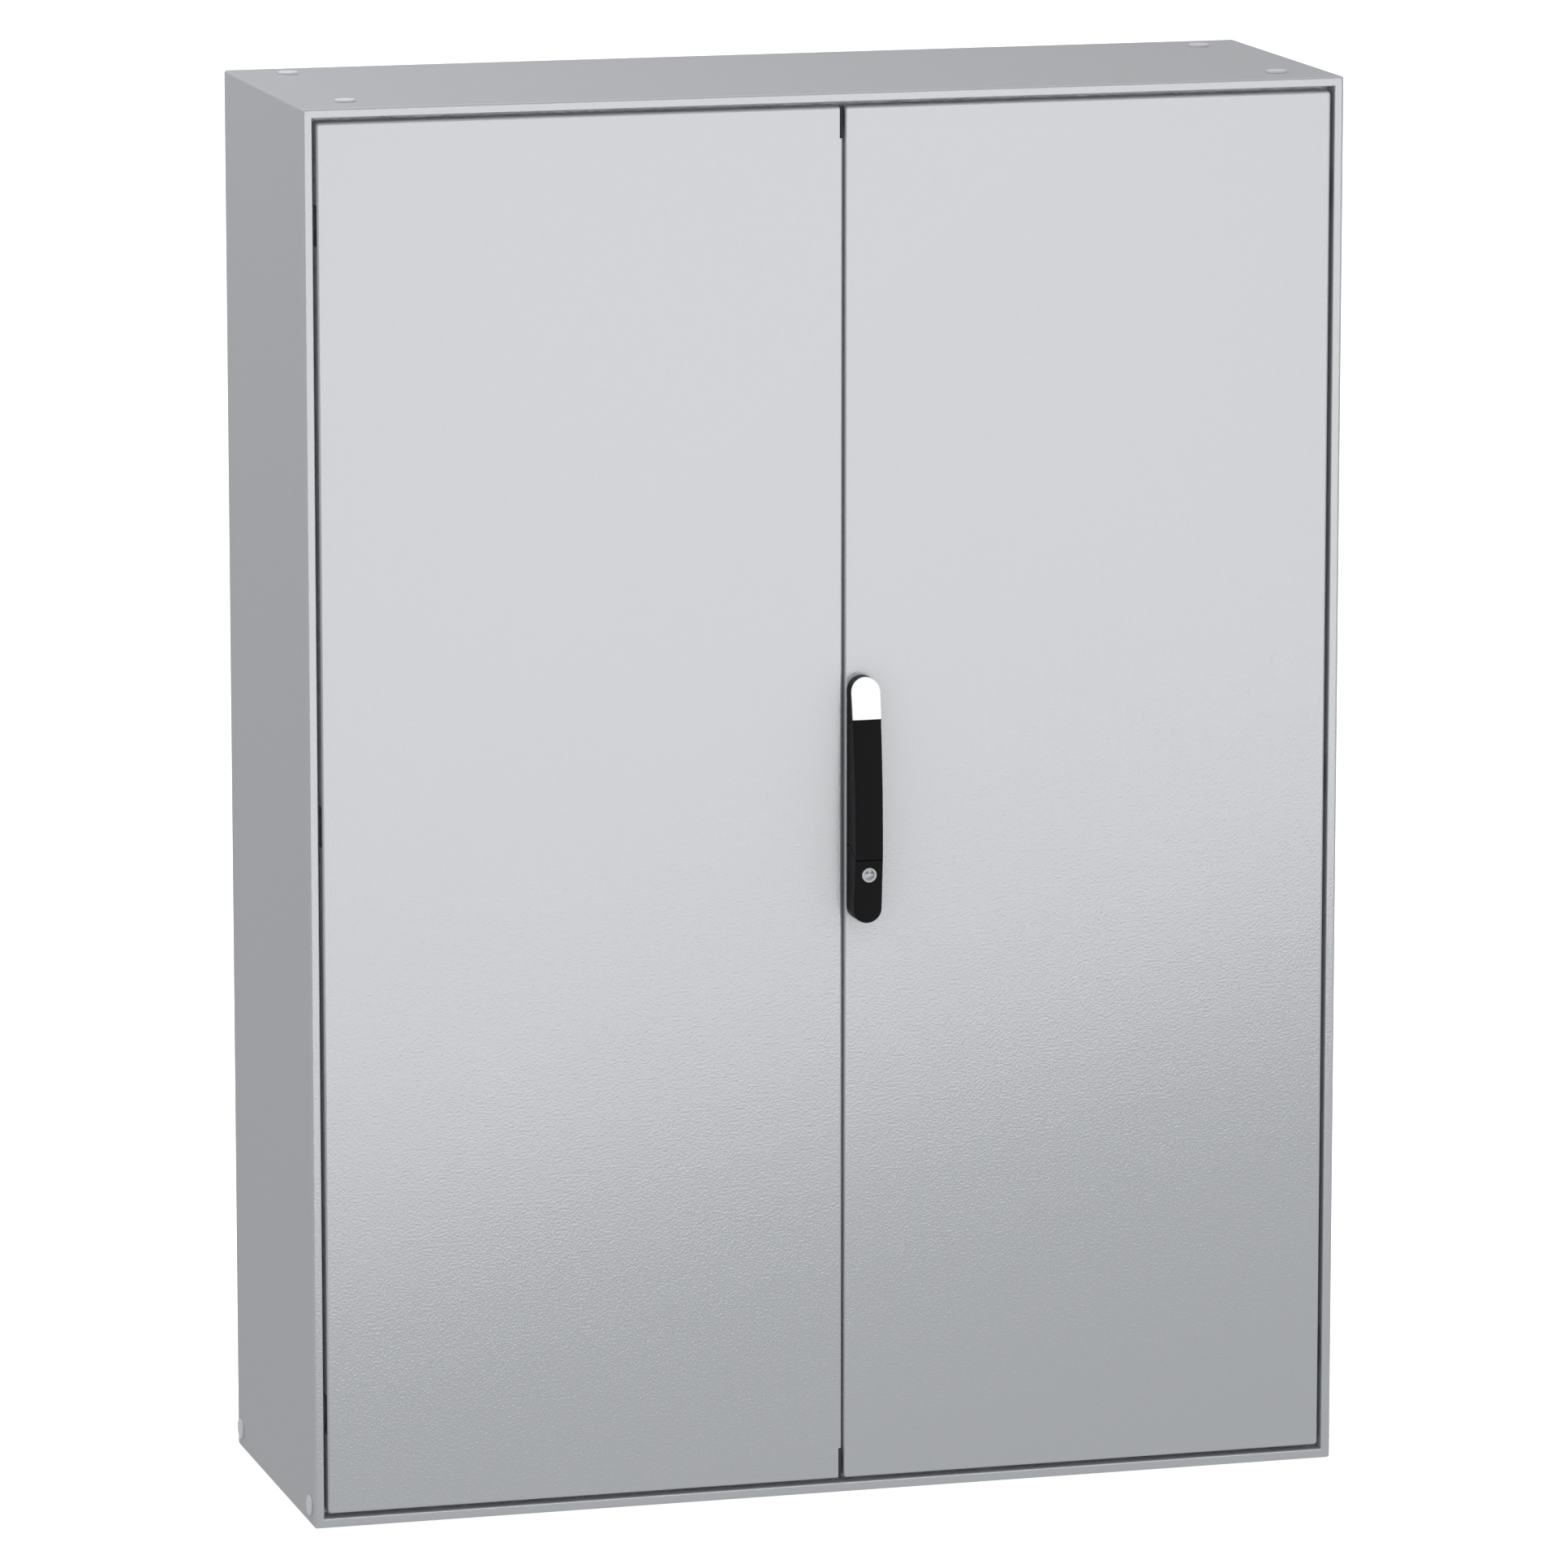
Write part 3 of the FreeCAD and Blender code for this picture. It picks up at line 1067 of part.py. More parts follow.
def passive_bolts():
    """The left door's own bolts: a flat bolt in a housing at each end, moved by its knob."""
    left, right = dim("bolt_left"), dim("bolt_left") + dim("rod_width")
    gap = dim("rod_gap")
    rod_front, rod_rear = dim("rod_front"), dim("rod_rear")
    housings = []
    for tag, way, tip_z in (("lower", -1, rod_bottom), ("upper", 1, rod_top)):
        def level(distance, way=way, tip_z=tip_z):
            """A height measured back from the bolt's tip."""
            return tip_z - way * size(distance)
        zs = sorted((level(0), level(110)), key=lambda value: value.value)
        bolt = box(tag + "_bolt_bar", (left, rod_front, zs[0]), (right, rod_rear, zs[1]))
        knob = rod(tag + "_bolt_knob", ((left + right) / 2, rod_rear - 1, level(60)), 4, 17, "+Y")
        node(fuse(tag + "_bolt_part", [bolt, knob]), tag + "_bolt")
        low, high = sorted((level(30), level(100)), key=lambda value: value.value)
        slot_low, slot_high = sorted((level(50), level(88)), key=lambda value: value.value)
        block = box(tag + "_housing_block", (left - 4, door_back, low), (right + 4, rod_rear + gap + 2, high))
        housings.append(cut(tag + "_housing", block, [
            box(tag + "_housing_slot", (left - gap, rod_front - gap, low - 1),
                (right + gap, rod_rear + gap, high + 1)),
            box(tag + "_knob_slot", (left, rod_rear - 1, slot_low), (right, rod_rear + 5, slot_high)),
            box(tag + "_housing_relief", (left - gap, door_back + 3, low - 1),
                (right + gap, rod_front - gap - 3, high + 1))]))
    node(group("bolt_housings_group", housings), "bolt_housings")


def keepers(upper_x, lower_x):
    """Wear plates on the back of the gutter flange, where rods and bolts reach behind it."""
    flange_back = gutter_floor + case_sheet
    plates = []
    bolt_x = (dim("bolt_left"), dim("bolt_left") + dim("rod_width"))
    spots = [("upper_rod", upper_x, 1), ("lower_rod", lower_x, -1),
             ("upper_bolt", bolt_x, 1), ("lower_bolt", bolt_x, -1)]
    for tag, xs, way in spots:
        near_edge = lip_reach - 2
        zs = (height - near_edge, height - near_edge + 20) if way > 0 else (near_edge - 20, near_edge)
        plates.append(box("keeper_" + tag, (xs[0] - 4, flange_back, zs[0]), (xs[1] + 4, flange_back + 2, zs[1])))
    node(group("keepers_group", plates), "lock_keepers")


# ---------------------------------------------------------------- inner fittings

def inner_fittings():
    """Mounting plate on four studs from the rear wall, and the earth studs."""
    plate_front = dim("plate_front")
    plate_back = plate_front + dim("plate_sheet")
    half, end = dim("plate_half"), dim("plate_end")
    stud = dim("stud_radius")
    corners = [(sx, sz) for sx in (-1, 1) for sz in (-1, 1)]
    spots = [(sx * dim("stud_x"), middle + sz * (middle - dim("stud_end"))) for sx, sz in corners]
    sheet_box = box("mounting_sheet", (-half, plate_front, end), (half, plate_back, height - end))
    bores = [rod("mounting_bore_%d" % number, (x, plate_front - 1, z), stud + 0.5, dim("plate_sheet") + 2, "+Y")
             for number, (x, z) in enumerate(spots, start=1)]
    node(cut("mounting_plate_part", sheet_box, bores), "mounting_plate")
    node(group("plate_studs_group", [
        rod("plate_stud_%d" % number, (x, plate_front - 18, z), stud, rear_sheet_y - plate_front + 18, "+Y")
        for number, (x, z) in enumerate(spots, start=1)]), "plate_studs")
    spacers = []
    for number, (x, z) in enumerate(spots, start=1):
        outer = rod("spacer_outer_%d" % number, (x, plate_back, z), stud + 4, rear_sheet_y - plate_back, "+Y")
        bore = rod("spacer_bore_%d" % number, (x, plate_back - 1, z), stud + 0.1,
                   rear_sheet_y - plate_back + 2, "+Y")
        spacers.append(cut("spacer_%d" % number, outer, [bore]))
    node(group("plate_spacers_group", spacers), "plate_spacers")
    nut = nut_kit("plate_nut", 9.8, 8, stud + 0.1)
    node(scatter("plate_nuts_group", nut, [(x, plate_front, z) for x, z in spots], TURNS["-Y"]), "plate_nuts")

    earth = 4
    node(rod("casing_earth", (-half_width + 60, front + 50, case_sheet), earth, 22), "casing_earth_stud")
    node(rod("left_earth", (-half_width + 110, door_back, 180), 3, 18, "+Y"), "left_door_earth_stud")
    node(rod("right_earth", (half_width - 110, door_back, 180), 3, 18, "+Y"), "right_door_earth_stud")


casing()
gland_plates()
centre_post()
hinges()
doors()
handle()
rod_edges = rod_lock()
passive_bolts()
keepers(*rod_edges)
inner_fittings()
document.recompute()

for item in document.Objects:
    if "Invalid" in item.State or "Error" in item.State:
        raise RuntimeError("%s failed: %s" % (item.Name, item.State))

os.makedirs("parts", exist_ok=True)
for item in nodes:
    shape = item.Shape
    if shape.isNull() or not shape.isValid() or not shape.Solids:
        raise RuntimeError(item.Label + " has no sound shape")
    shape.exportStep("parts/%s.step" % item.Label)
print("%d nodes written" % len(nodes))
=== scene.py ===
import json
import math

import bmesh
import bpy
import numpy as np
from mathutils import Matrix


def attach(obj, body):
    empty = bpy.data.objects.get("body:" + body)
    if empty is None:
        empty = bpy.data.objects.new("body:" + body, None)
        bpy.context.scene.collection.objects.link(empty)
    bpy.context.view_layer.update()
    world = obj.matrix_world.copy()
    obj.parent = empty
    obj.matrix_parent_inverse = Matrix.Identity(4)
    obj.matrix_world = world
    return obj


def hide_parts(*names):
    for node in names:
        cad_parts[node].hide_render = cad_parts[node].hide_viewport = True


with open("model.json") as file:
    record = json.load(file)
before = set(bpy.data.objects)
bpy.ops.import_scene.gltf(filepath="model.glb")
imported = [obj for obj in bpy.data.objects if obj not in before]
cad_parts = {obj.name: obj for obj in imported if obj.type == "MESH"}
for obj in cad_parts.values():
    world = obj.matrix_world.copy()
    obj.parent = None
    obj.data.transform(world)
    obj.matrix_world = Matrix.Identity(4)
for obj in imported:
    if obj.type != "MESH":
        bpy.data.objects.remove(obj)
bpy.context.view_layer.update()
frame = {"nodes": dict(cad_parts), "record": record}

# A double-door steel switchgear cabinet; +Z is up and the doors face -Y. The scene is in metres. The
# dictionaries of pieces and finishes are in millimetres, those of the studio and camera in metres.

mm = 0.001
caseSize = {"width": 1200, "height": 1600, "depth": 400}

# ------ small tools


def linear(hexColour):
    # sRGB hex to the linear values that shaders work in
    channels = np.array([int(hexColour[i:i + 2], 16) for i in (1, 3, 5)]) / 255
    bent = np.where(channels <= 0.04045, channels / 12.92, ((channels + 0.055) / 1.055) ** 2.4)
    return (*bent.tolist(), 1.0)


def addNode(tree, kind, values=None, **settings):
    # one shader node; values go to its sockets, as a number or as another node's output to link
    node = tree.nodes.new("ShaderNode" + kind)
    for name, value in settings.items():
        setattr(node, name, value)
    for name, value in (values or {}).items():
        if isinstance(value, bpy.types.NodeSocket):
            tree.links.new(value, node.inputs[name])
        else:
            node.inputs[name].default_value = value
    return node


def meshObject(name, points, faces):
    # a mesh from arrays of places and of corner numbers, with its doubles merged and faces outward
    mesh = bpy.data.meshes.new(name)
    mesh.from_pydata(np.asarray(points).reshape(-1, 3).tolist(), [], faces)
    work = bmesh.new()
    work.from_mesh(mesh)
    bmesh.ops.remove_doubles(work, verts=work.verts, dist=1e-6)
    bmesh.ops.dissolve_degenerate(work, edges=work.edges, dist=1e-7)
    bmesh.ops.recalc_face_normals(work, faces=work.faces)
    work.to_mesh(mesh)
    work.free()
    mesh.shade_smooth()
    thing = bpy.data.objects.new(name, mesh)
    bpy.context.scene.collection.objects.link(thing)
    return thing


def joined(name, things):
    # one mesh from several that all stand at the origin
    work = bmesh.new()
    for thing in things:
        work.from_mesh(thing.data)
        bpy.data.objects.remove(thing)
    mesh = bpy.data.meshes.new(name)
    work.to_mesh(mesh)
    work.free()
    whole = bpy.data.objects.new(name, mesh)
    bpy.context.scene.collection.objects.link(whole)
    return whole


def gridFaces(rows, columns, first=0, wrap=False, flip=False):
    # quads between neighbours of a rows x columns grid whose points count up from first
    steps = columns if wrap else columns - 1
    r, c = np.meshgrid(np.arange(rows - 1), np.arange(steps), indexing="ij")
    nextColumn = (c + 1) % columns
    quads = np.stack([r * columns + c, r * columns + nextColumn,
                      (r + 1) * columns + nextColumn, (r + 1) * columns + c], axis=-1)
    quads = quads.reshape(-1, 4) + first
    return (quads[:, ::-1] if flip else quads).tolist()


def dress(thing, material, body, replaced, sharp=35, bevel=0.0):
    # gives a finished piece its material, its creases, its body and the nodes that it stands for
    thing.data.materials.clear()
    thing.data.materials.append(material)
    thing.data.shade_smooth()
    thing.data.set_sharp_from_angle(angle=math.radians(sharp))
    if bevel:
        rounding = thing.modifiers.new("edgeRounding", "BEVEL")
        rounding.width = bevel
        rounding.segments = 2
        rounding.limit_method = "ANGLE"
        rounding.angle_limit = math.radians(sharp)
        rounding.use_clamp_overlap = True
    # the widest faces lead the shading, so flat sheet looks flat up to its rounded edge
    even = thing.modifiers.new("evenNormals", "WEIGHTED_NORMAL")
    even.keep_sharp = True
    even.weight = 80
    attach(thing, body)
    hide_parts(*replaced)
    return thing


bodyOf = {node: body for body, nodes in frame["record"]["behaviour"]["bodies"].items()
          for node in nodes}

# ------ materials

# A coat on sheet steel is a dielectric skin, so it is never metallic; bare and plated metals are.
finishes = {
    # polyester powder coat in light grey, sprayed with a leathery structure: even, soft shine
    "powderCoat": {"colour": "#aeb0b4", "tone": "#acaeb2", "toneSize": 300, "metallic": 0.0,
                   "roughness": (0.20, 0.22), "specular": 0.62, "grain": 2.7, "grainHeight": 0.26,
                   "fine": 1.2, "fineHeight": 0.03, "stretch": (1, 1, 1)},
    # polyethylene hole plug, moulded in the coat's grey: a little lighter and duller
    "mouldedPlug": {"colour": "#d0d1d4", "tone": "#cbccd0", "toneSize": 12, "metallic": 0.0,
                    "roughness": (0.38, 0.5), "specular": 0.5, "grain": 1.5, "grainHeight": 0.01,
                    "fine": 0.5, "fineHeight": 0.003, "stretch": (1, 1, 1)},
    # glass-filled polyamide, moulded against a lightly blasted tool: deep black with a satin sheen
    "satinPolyamide": {"colour": "#101012", "tone": "#0c0c0e", "toneSize": 30, "metallic": 0.0,
                       "roughness": (0.36, 0.44), "specular": 0.14, "grain": 0.9, "grainHeight": 0.012,
                       "fine": 0.35, "fineHeight": 0.004, "stretch": (1, 1, 1)},
    # ABS moulded in a polished tool: clean white gloss with faint ripples of the tool
    "glossAbs": {"colour": "#fafaf9", "tone": "#f6f6f5", "toneSize": 18, "metallic": 0.0,
                 "roughness": (0.10, 0.17), "specular": 0.5, "grain": 6, "grainHeight": 0.01,
                 "fine": 1.0, "fineHeight": 0.001, "stretch": (1, 1, 1)},
    # bright chromium on die-cast zinc: a mirror with faint, patchy wear
    "chromePlate": {"colour": "#d6d8db", "tone": "#b9bcc0", "toneSize": 4, "metallic": 1.0,
                    "roughness": (0.10, 0.24), "specular": 0.5, "grain": 1.2, "grainHeight": 0.004,
                    "fine": 0.4, "fineHeight": 0.002, "stretch": (1, 1, 6)},
    # electroplated zinc with a clear passivation: bright but milky
    "zincPlate": {"colour": "#b9bcc0", "tone": "#a9adb0", "toneSize": 6, "metallic": 1.0,
                  "roughness": (0.28, 0.42), "specular": 0.5, "grain": 1.0, "grainHeight": 0.006,
                  "fine": 0.4, "fineHeight": 0.003, "stretch": (1, 1, 1)},
    # zinc-plated flat bar, drawn through rollers: faint lines along its length
    "rolledBar": {"colour": "#b4b7ba", "tone": "#a1a5a8", "toneSize": 25, "metallic": 1.0,
                  "roughness": (0.26, 0.44), "specular": 0.5, "grain": 1.2, "grainHeight": 0.01,
                  "fine": 0.5, "fineHeight": 0.004, "stretch": (1, 1, 0.04)},
    # turned and ground steel with a film of oil
    "groundSteel": {"colour": "#8f9296", "tone": "#7f8286", "toneSize": 8, "metallic": 1.0,
                    "roughness": (0.22, 0.36), "specular": 0.5, "grain": 0.8, "grainHeight": 0.004,
                    "fine": 0.3, "fineHeight": 0.002, "stretch": (1, 1, 8)},
    # pressure die-cast zinc as it leaves the tool: flow marks and a dull grey skin
    "dieCastZinc": {"colour": "#95989b", "tone": "#838689", "toneSize": 14, "metallic": 1.0,
                    "roughness": (0.42, 0.58), "specular": 0.5, "grain": 2.2, "grainHeight": 0.02,
                    "fine": 0.7, "fineHeight": 0.006, "stretch": (1, 1, 1)},
    # drawn brass rod, slightly tarnished
    "drawnBrass": {"colour": "#c19a51", "tone": "#a67f3c", "toneSize": 8, "metallic": 1.0,
                   "roughness": (0.26, 0.4), "specular": 0.5, "grain": 1.0, "grainHeight": 0.006,
                   "fine": 0.4, "fineHeight": 0.003, "stretch": (1, 0.1, 1)},
    # polyurethane foamed in place: a closed matt skin with small blisters
    "foamSeal": {"colour": "#232426", "tone": "#1b1c1e", "toneSize": 25, "metallic": 0.0,
                 "roughness": (0.75, 0.9), "specular": 0.35, "grain": 2.4, "grainHeight": 0.12,
                 "fine": 0.8, "fineHeight": 0.03, "stretch": (1, 1, 1)},
    # calendered EPDM sheet: matt black
    "epdmSheet": {"colour": "#1a1a1b", "tone": "#141415", "toneSize": 20, "metallic": 0.0,
                  "roughness": (0.62, 0.78), "specular": 0.4, "grain": 1.4, "grainHeight": 0.02,
                  "fine": 0.5, "fineHeight": 0.008, "stretch": (1, 1, 1)},
    # acetal guide, moulded in black: slippery and slightly waxy
    "blackAcetal": {"colour": "#1d1e20", "tone": "#161719", "toneSize": 12, "metallic": 0.0,
                    "roughness": (0.34, 0.46), "specular": 0.5, "grain": 1.1, "grainHeight": 0.008,
                    "fine": 0.4, "fineHeight": 0.003, "stretch": (1, 1, 1)},
}


def finish(name, spec):
    # colour: two tones mixed by broad noise; roughness: the same noise between its two values;
    # bump: a coarse and a fine noise, each as high as its real texture
    material = bpy.data.materials.new(name)
    material.use_nodes = True
    tree = material.node_tree
    tree.nodes.clear()
    place = addNode(tree, "TexCoord").outputs["Object"]
    mapping = addNode(tree, "Mapping", {"Vector": place, "Scale": spec["stretch"]})
    stretched = mapping.outputs["Vector"]
    broad = addNode(tree, "TexNoise", {"Vector": place, "Scale": 1 / (spec["toneSize"] * mm),
                                       "Detail": 3.0, "Roughness": 0.55})
    colour = addNode(tree, "Mix", {"Factor": broad.outputs["Fac"]}, data_type="RGBA")
    colour.inputs[6].default_value = linear(spec["colour"])
    colour.inputs[7].default_value = linear(spec["tone"])
    low, high = spec["roughness"]
    dull = addNode(tree, "MapRange", {"Value": broad.outputs["Fac"], "From Min": 0.3, "From Max": 0.7,
                                      "To Min": low, "To Max": high})
    coarse = addNode(tree, "TexNoise", {"Vector": stretched, "Scale": 1 / (spec["grain"] * mm),
                                        "Detail": 1.5, "Roughness": 0.45})
    fine = addNode(tree, "TexNoise", {"Vector": stretched, "Scale": 1 / (spec["fine"] * mm),
                                      "Detail": 1.0})
    bumpFine = addNode(tree, "Bump", {"Height": fine.outputs["Fac"], "Strength": 1.0,
                                      "Distance": spec["fineHeight"] * mm})
    bump = addNode(tree, "Bump", {"Height": coarse.outputs["Fac"], "Strength": 1.0,
                                  "Distance": spec["grainHeight"] * mm,
                                  "Normal": bumpFine.outputs["Normal"]})
    shader = addNode(tree, "BsdfPrincipled", {
        "Base Color": colour.outputs[2], "Roughness": dull.outputs["Result"],
        "Metallic": spec["metallic"], "Specular IOR Level": spec["specular"],
        "Normal": bump.outputs["Normal"]})
    addNode(tree, "OutputMaterial", {"Surface": shader.outputs["BSDF"]})
    return material


materials = {name: finish(name, spec) for name, spec in finishes.items()}


def galvanised():
    # hot-dip galvanised sheet: zinc crystals some 9 mm across, each its own grey and its own gloss,
    # with their borders bent by a noise and a fine relief on top
    spangle = {"size": 9, "light": "#b2b5b8", "dark": "#a3a6a9", "dullest": 0.5, "brightest": 0.42,
               "bendScale": 90.0, "bend": 6, "reliefScale": 700.0, "relief": 0.008}
    material = bpy.data.materials.new("galvanisedSheet")
    material.use_nodes = True
    tree = material.node_tree
    tree.nodes.clear()
    place = addNode(tree, "TexCoord").outputs["Object"]
    bend = addNode(tree, "TexNoise", {"Vector": place, "Scale": spangle["bendScale"], "Detail": 2.0})
    shifted = addNode(tree, "VectorMath", {0: bend.outputs["Color"], 1: (spangle["bend"] * mm,) * 3},
                      operation="MULTIPLY")
    warped = addNode(tree, "VectorMath", {0: place, 1: shifted.outputs["Vector"]}, operation="ADD")
    crystal = addNode(tree, "TexVoronoi", {"Vector": warped.outputs["Vector"],
                                           "Scale": 1 / (spangle["size"] * mm)})
    grey = addNode(tree, "SeparateColor", {"Color": crystal.outputs["Color"]})
    colour = addNode(tree, "Mix", {"Factor": grey.outputs["Red"]}, data_type="RGBA")
    colour.inputs[6].default_value = linear(spangle["light"])
    colour.inputs[7].default_value = linear(spangle["dark"])
    dull = addNode(tree, "MapRange", {"Value": grey.outputs["Green"], "To Min": spangle["brightest"],
                                      "To Max": spangle["dullest"]})
    skin = addNode(tree, "TexNoise", {"Vector": place, "Scale": spangle["reliefScale"], "Detail": 2.0})
    bump = addNode(tree, "Bump", {"Height": skin.outputs["Fac"], "Strength": 1.0,
                                  "Distance": spangle["relief"] * mm})
    shader = addNode(tree, "BsdfPrincipled", {"Base Color": colour.outputs[2], "Metallic": 1.0,
                                              "Roughness": dull.outputs["Result"],
                                              "Normal": bump.outputs["Normal"]})
    addNode(tree, "OutputMaterial", {"Surface": shader.outputs["BSDF"]})
    return material


materials["galvanisedSheet"] = galvanised()
print("materials made:", len(materials))

# ------ sheet metal and fittings that keep the drawn shape

# node: material, edge rounding in millimetres
drawnParts = {
    "casing_left_side": ("powderCoat", 0.25), "casing_right_side": ("powderCoat", 0.25),
    "casing_top": ("powderCoat", 0.25), "casing_bottom": ("powderCoat", 0.25),
    "casing_rear": ("powderCoat", 0.3), "centre_post": ("powderCoat", 0.8),
    "left_door_panel": ("powderCoat", 0.25), "right_door_panel": ("powderCoat", 0.25),
    "gland_plates": ("galvanisedSheet", 0.3), "gland_seals": ("epdmSheet", 0.3),
    "gland_screws": ("zincPlate", 0.25), "centre_post_brackets": ("galvanisedSheet", 0.5),
    "centre_post_screws": ("zincPlate", 0.25), "left_hinge_arms": ("zincPlate", 0.3),
    "right_hinge_arms": ("zincPlate", 0.3), "left_hinge_lugs": ("zincPlate", 0.4),
    "right_hinge_lugs": ("zincPlate", 0.4), "hinge_screws": ("zincPlate", 0.25),
    "hinge_pins": ("groundSteel", 0.3), "lock_keepers": ("zincPlate", 0.3),
    "mounting_plate": ("galvanisedSheet", 0.5), "plate_studs": ("zincPlate", 0.6),
    "plate_spacers": ("zincPlate", 0.3), "plate_nuts": ("zincPlate", 0.5),
    "casing_earth_stud": ("drawnBrass", 0.5), "left_door_earth_stud": ("drawnBrass", 0.5),
    "right_door_earth_stud": ("drawnBrass", 0.5), "left_door_seal": ("foamSeal", 2.6),
    "right_door_seal": ("foamSeal", 2.6), "left_door_stiffeners": ("galvanisedSheet", 0.4),
    "right_door_stiffeners": ("galvanisedSheet", 0.4), "left_door_edge_guides": ("blackAcetal", 0.3),
    "bolt_housings": ("blackAcetal", 0.6),
    "upper_bolt": ("rolledBar", 0.5), "lower_bolt": ("rolledBar", 0.5),
    "handle_seal": ("epdmSheet", 0.2), "handle_screws": ("zincPlate", 0.3),
    "gearbox_housing": ("dieCastZinc", 0.4), "gearbox_cover": ("galvanisedSheet", 0.4),
    "gearbox_screws": ("zincPlate", 0.25), "transfer_axle": ("groundSteel", 0.3),
    "transfer_gear": ("groundSteel", 0.0), "drive_gear": ("groundSteel", 0.0),
    "rod_guides": ("blackAcetal", 0.6),
    "upper_rod": ("rolledBar", 0.0), "lower_rod": ("rolledBar", 0.0),
    "handle_spindle": ("zincPlate", 0.4), "lever_pin": ("groundSteel", 0.3),
    "lock_cam": ("dieCastZinc", 0.4),
}


def mergedCopy(node):
    # a copy of a node's loose triangles, joined into one skin with its flat faces made whole
    mesh = frame["nodes"][node].data.copy()
    mesh.name = node + "Skin"
    work = bmesh.new()
    work.from_mesh(mesh)
    bmesh.ops.remove_doubles(work, verts=work.verts, dist=2e-6)
    bmesh.ops.dissolve_limit(work, angle_limit=math.radians(0.5), verts=work.verts, edges=work.edges)
    work.to_mesh(mesh)
    work.free()
    copy = bpy.data.objects.new(node + "Skin", mesh)
    bpy.context.scene.collection.objects.link(copy)
    return copy


coated = []                # the pieces that mirror the studio's card
for node, (materialName, edge) in drawnParts.items():
    skin = dress(mergedCopy(node), materials[materialName], bodyOf[node], (node,),
                 bevel=edge * mm)
    if materialName == "powderCoat":
        coated.append(skin)
print("drawn parts dressed:", len(drawnParts))

# ------ handle

handle = {
    "x": 36, "halfWidth": 17, "top": 943.5, "bottom": 664,
    "crestHeight": 36.9, "crestLevel": 757, "crestRadius": 860, "footHeight": 29,
    "skirt": 17.5, "taper": 3.3, "edge": 2.8, "crown": 0.7,
    "seam": 738.2, "seamGap": 1.25, "nose": 14, "noseCurve": 1.15, "crownCurve": 1.2,
    "pivotLevel": 912, "pivotHeight": 11, "knuckle": 21, "gap": 0.5,
    "capStart": 896.55, "capSkin": 1.6, "capEdge": 0.55, "capOverlap": 0.02,
    "plate": 3.2, "plateStart": 748, "foot": 1, "thinEdge": 0.3,
}
doorFace = -caseSize["depth"] / 2


def crest(z):
    # height of the handle's back above the door: an arc over lever and head, a ramp down the block
    drop = np.maximum(z, handle["seam"]) - handle["crestLevel"]
    back = handle["crestHeight"] - drop ** 2 / (2 * handle["crestRadius"])
    seamDrop = handle["seam"] - handle["crestLevel"]
    atSeam = handle["crestHeight"] - seamDrop ** 2 / (2 * handle["crestRadius"])
    slope = (atSeam - handle["footHeight"]) / (handle["seam"] - handle["bottom"])
    return back - slope * np.maximum(handle["seam"] - z, 0)


def nose(h):
    # the seam between lever and block runs up to the back from a step at the skirt
    rise = np.clip((h - handle["skirt"]) / (handle["crestHeight"] - handle["skirt"]), 0, 1)
    return handle["seam"] + handle["nose"] * (1 - rise) ** handle["noseCurve"]


def knuckle(h, gap=0.0):
    # the head's lower end is round about the lift pin
    radius = handle["knuckle"] + gap
    offset = h - handle["pivotHeight"]
    return handle["pivotLevel"] - np.sqrt(np.maximum(radius ** 2 - offset ** 2, 1.0))


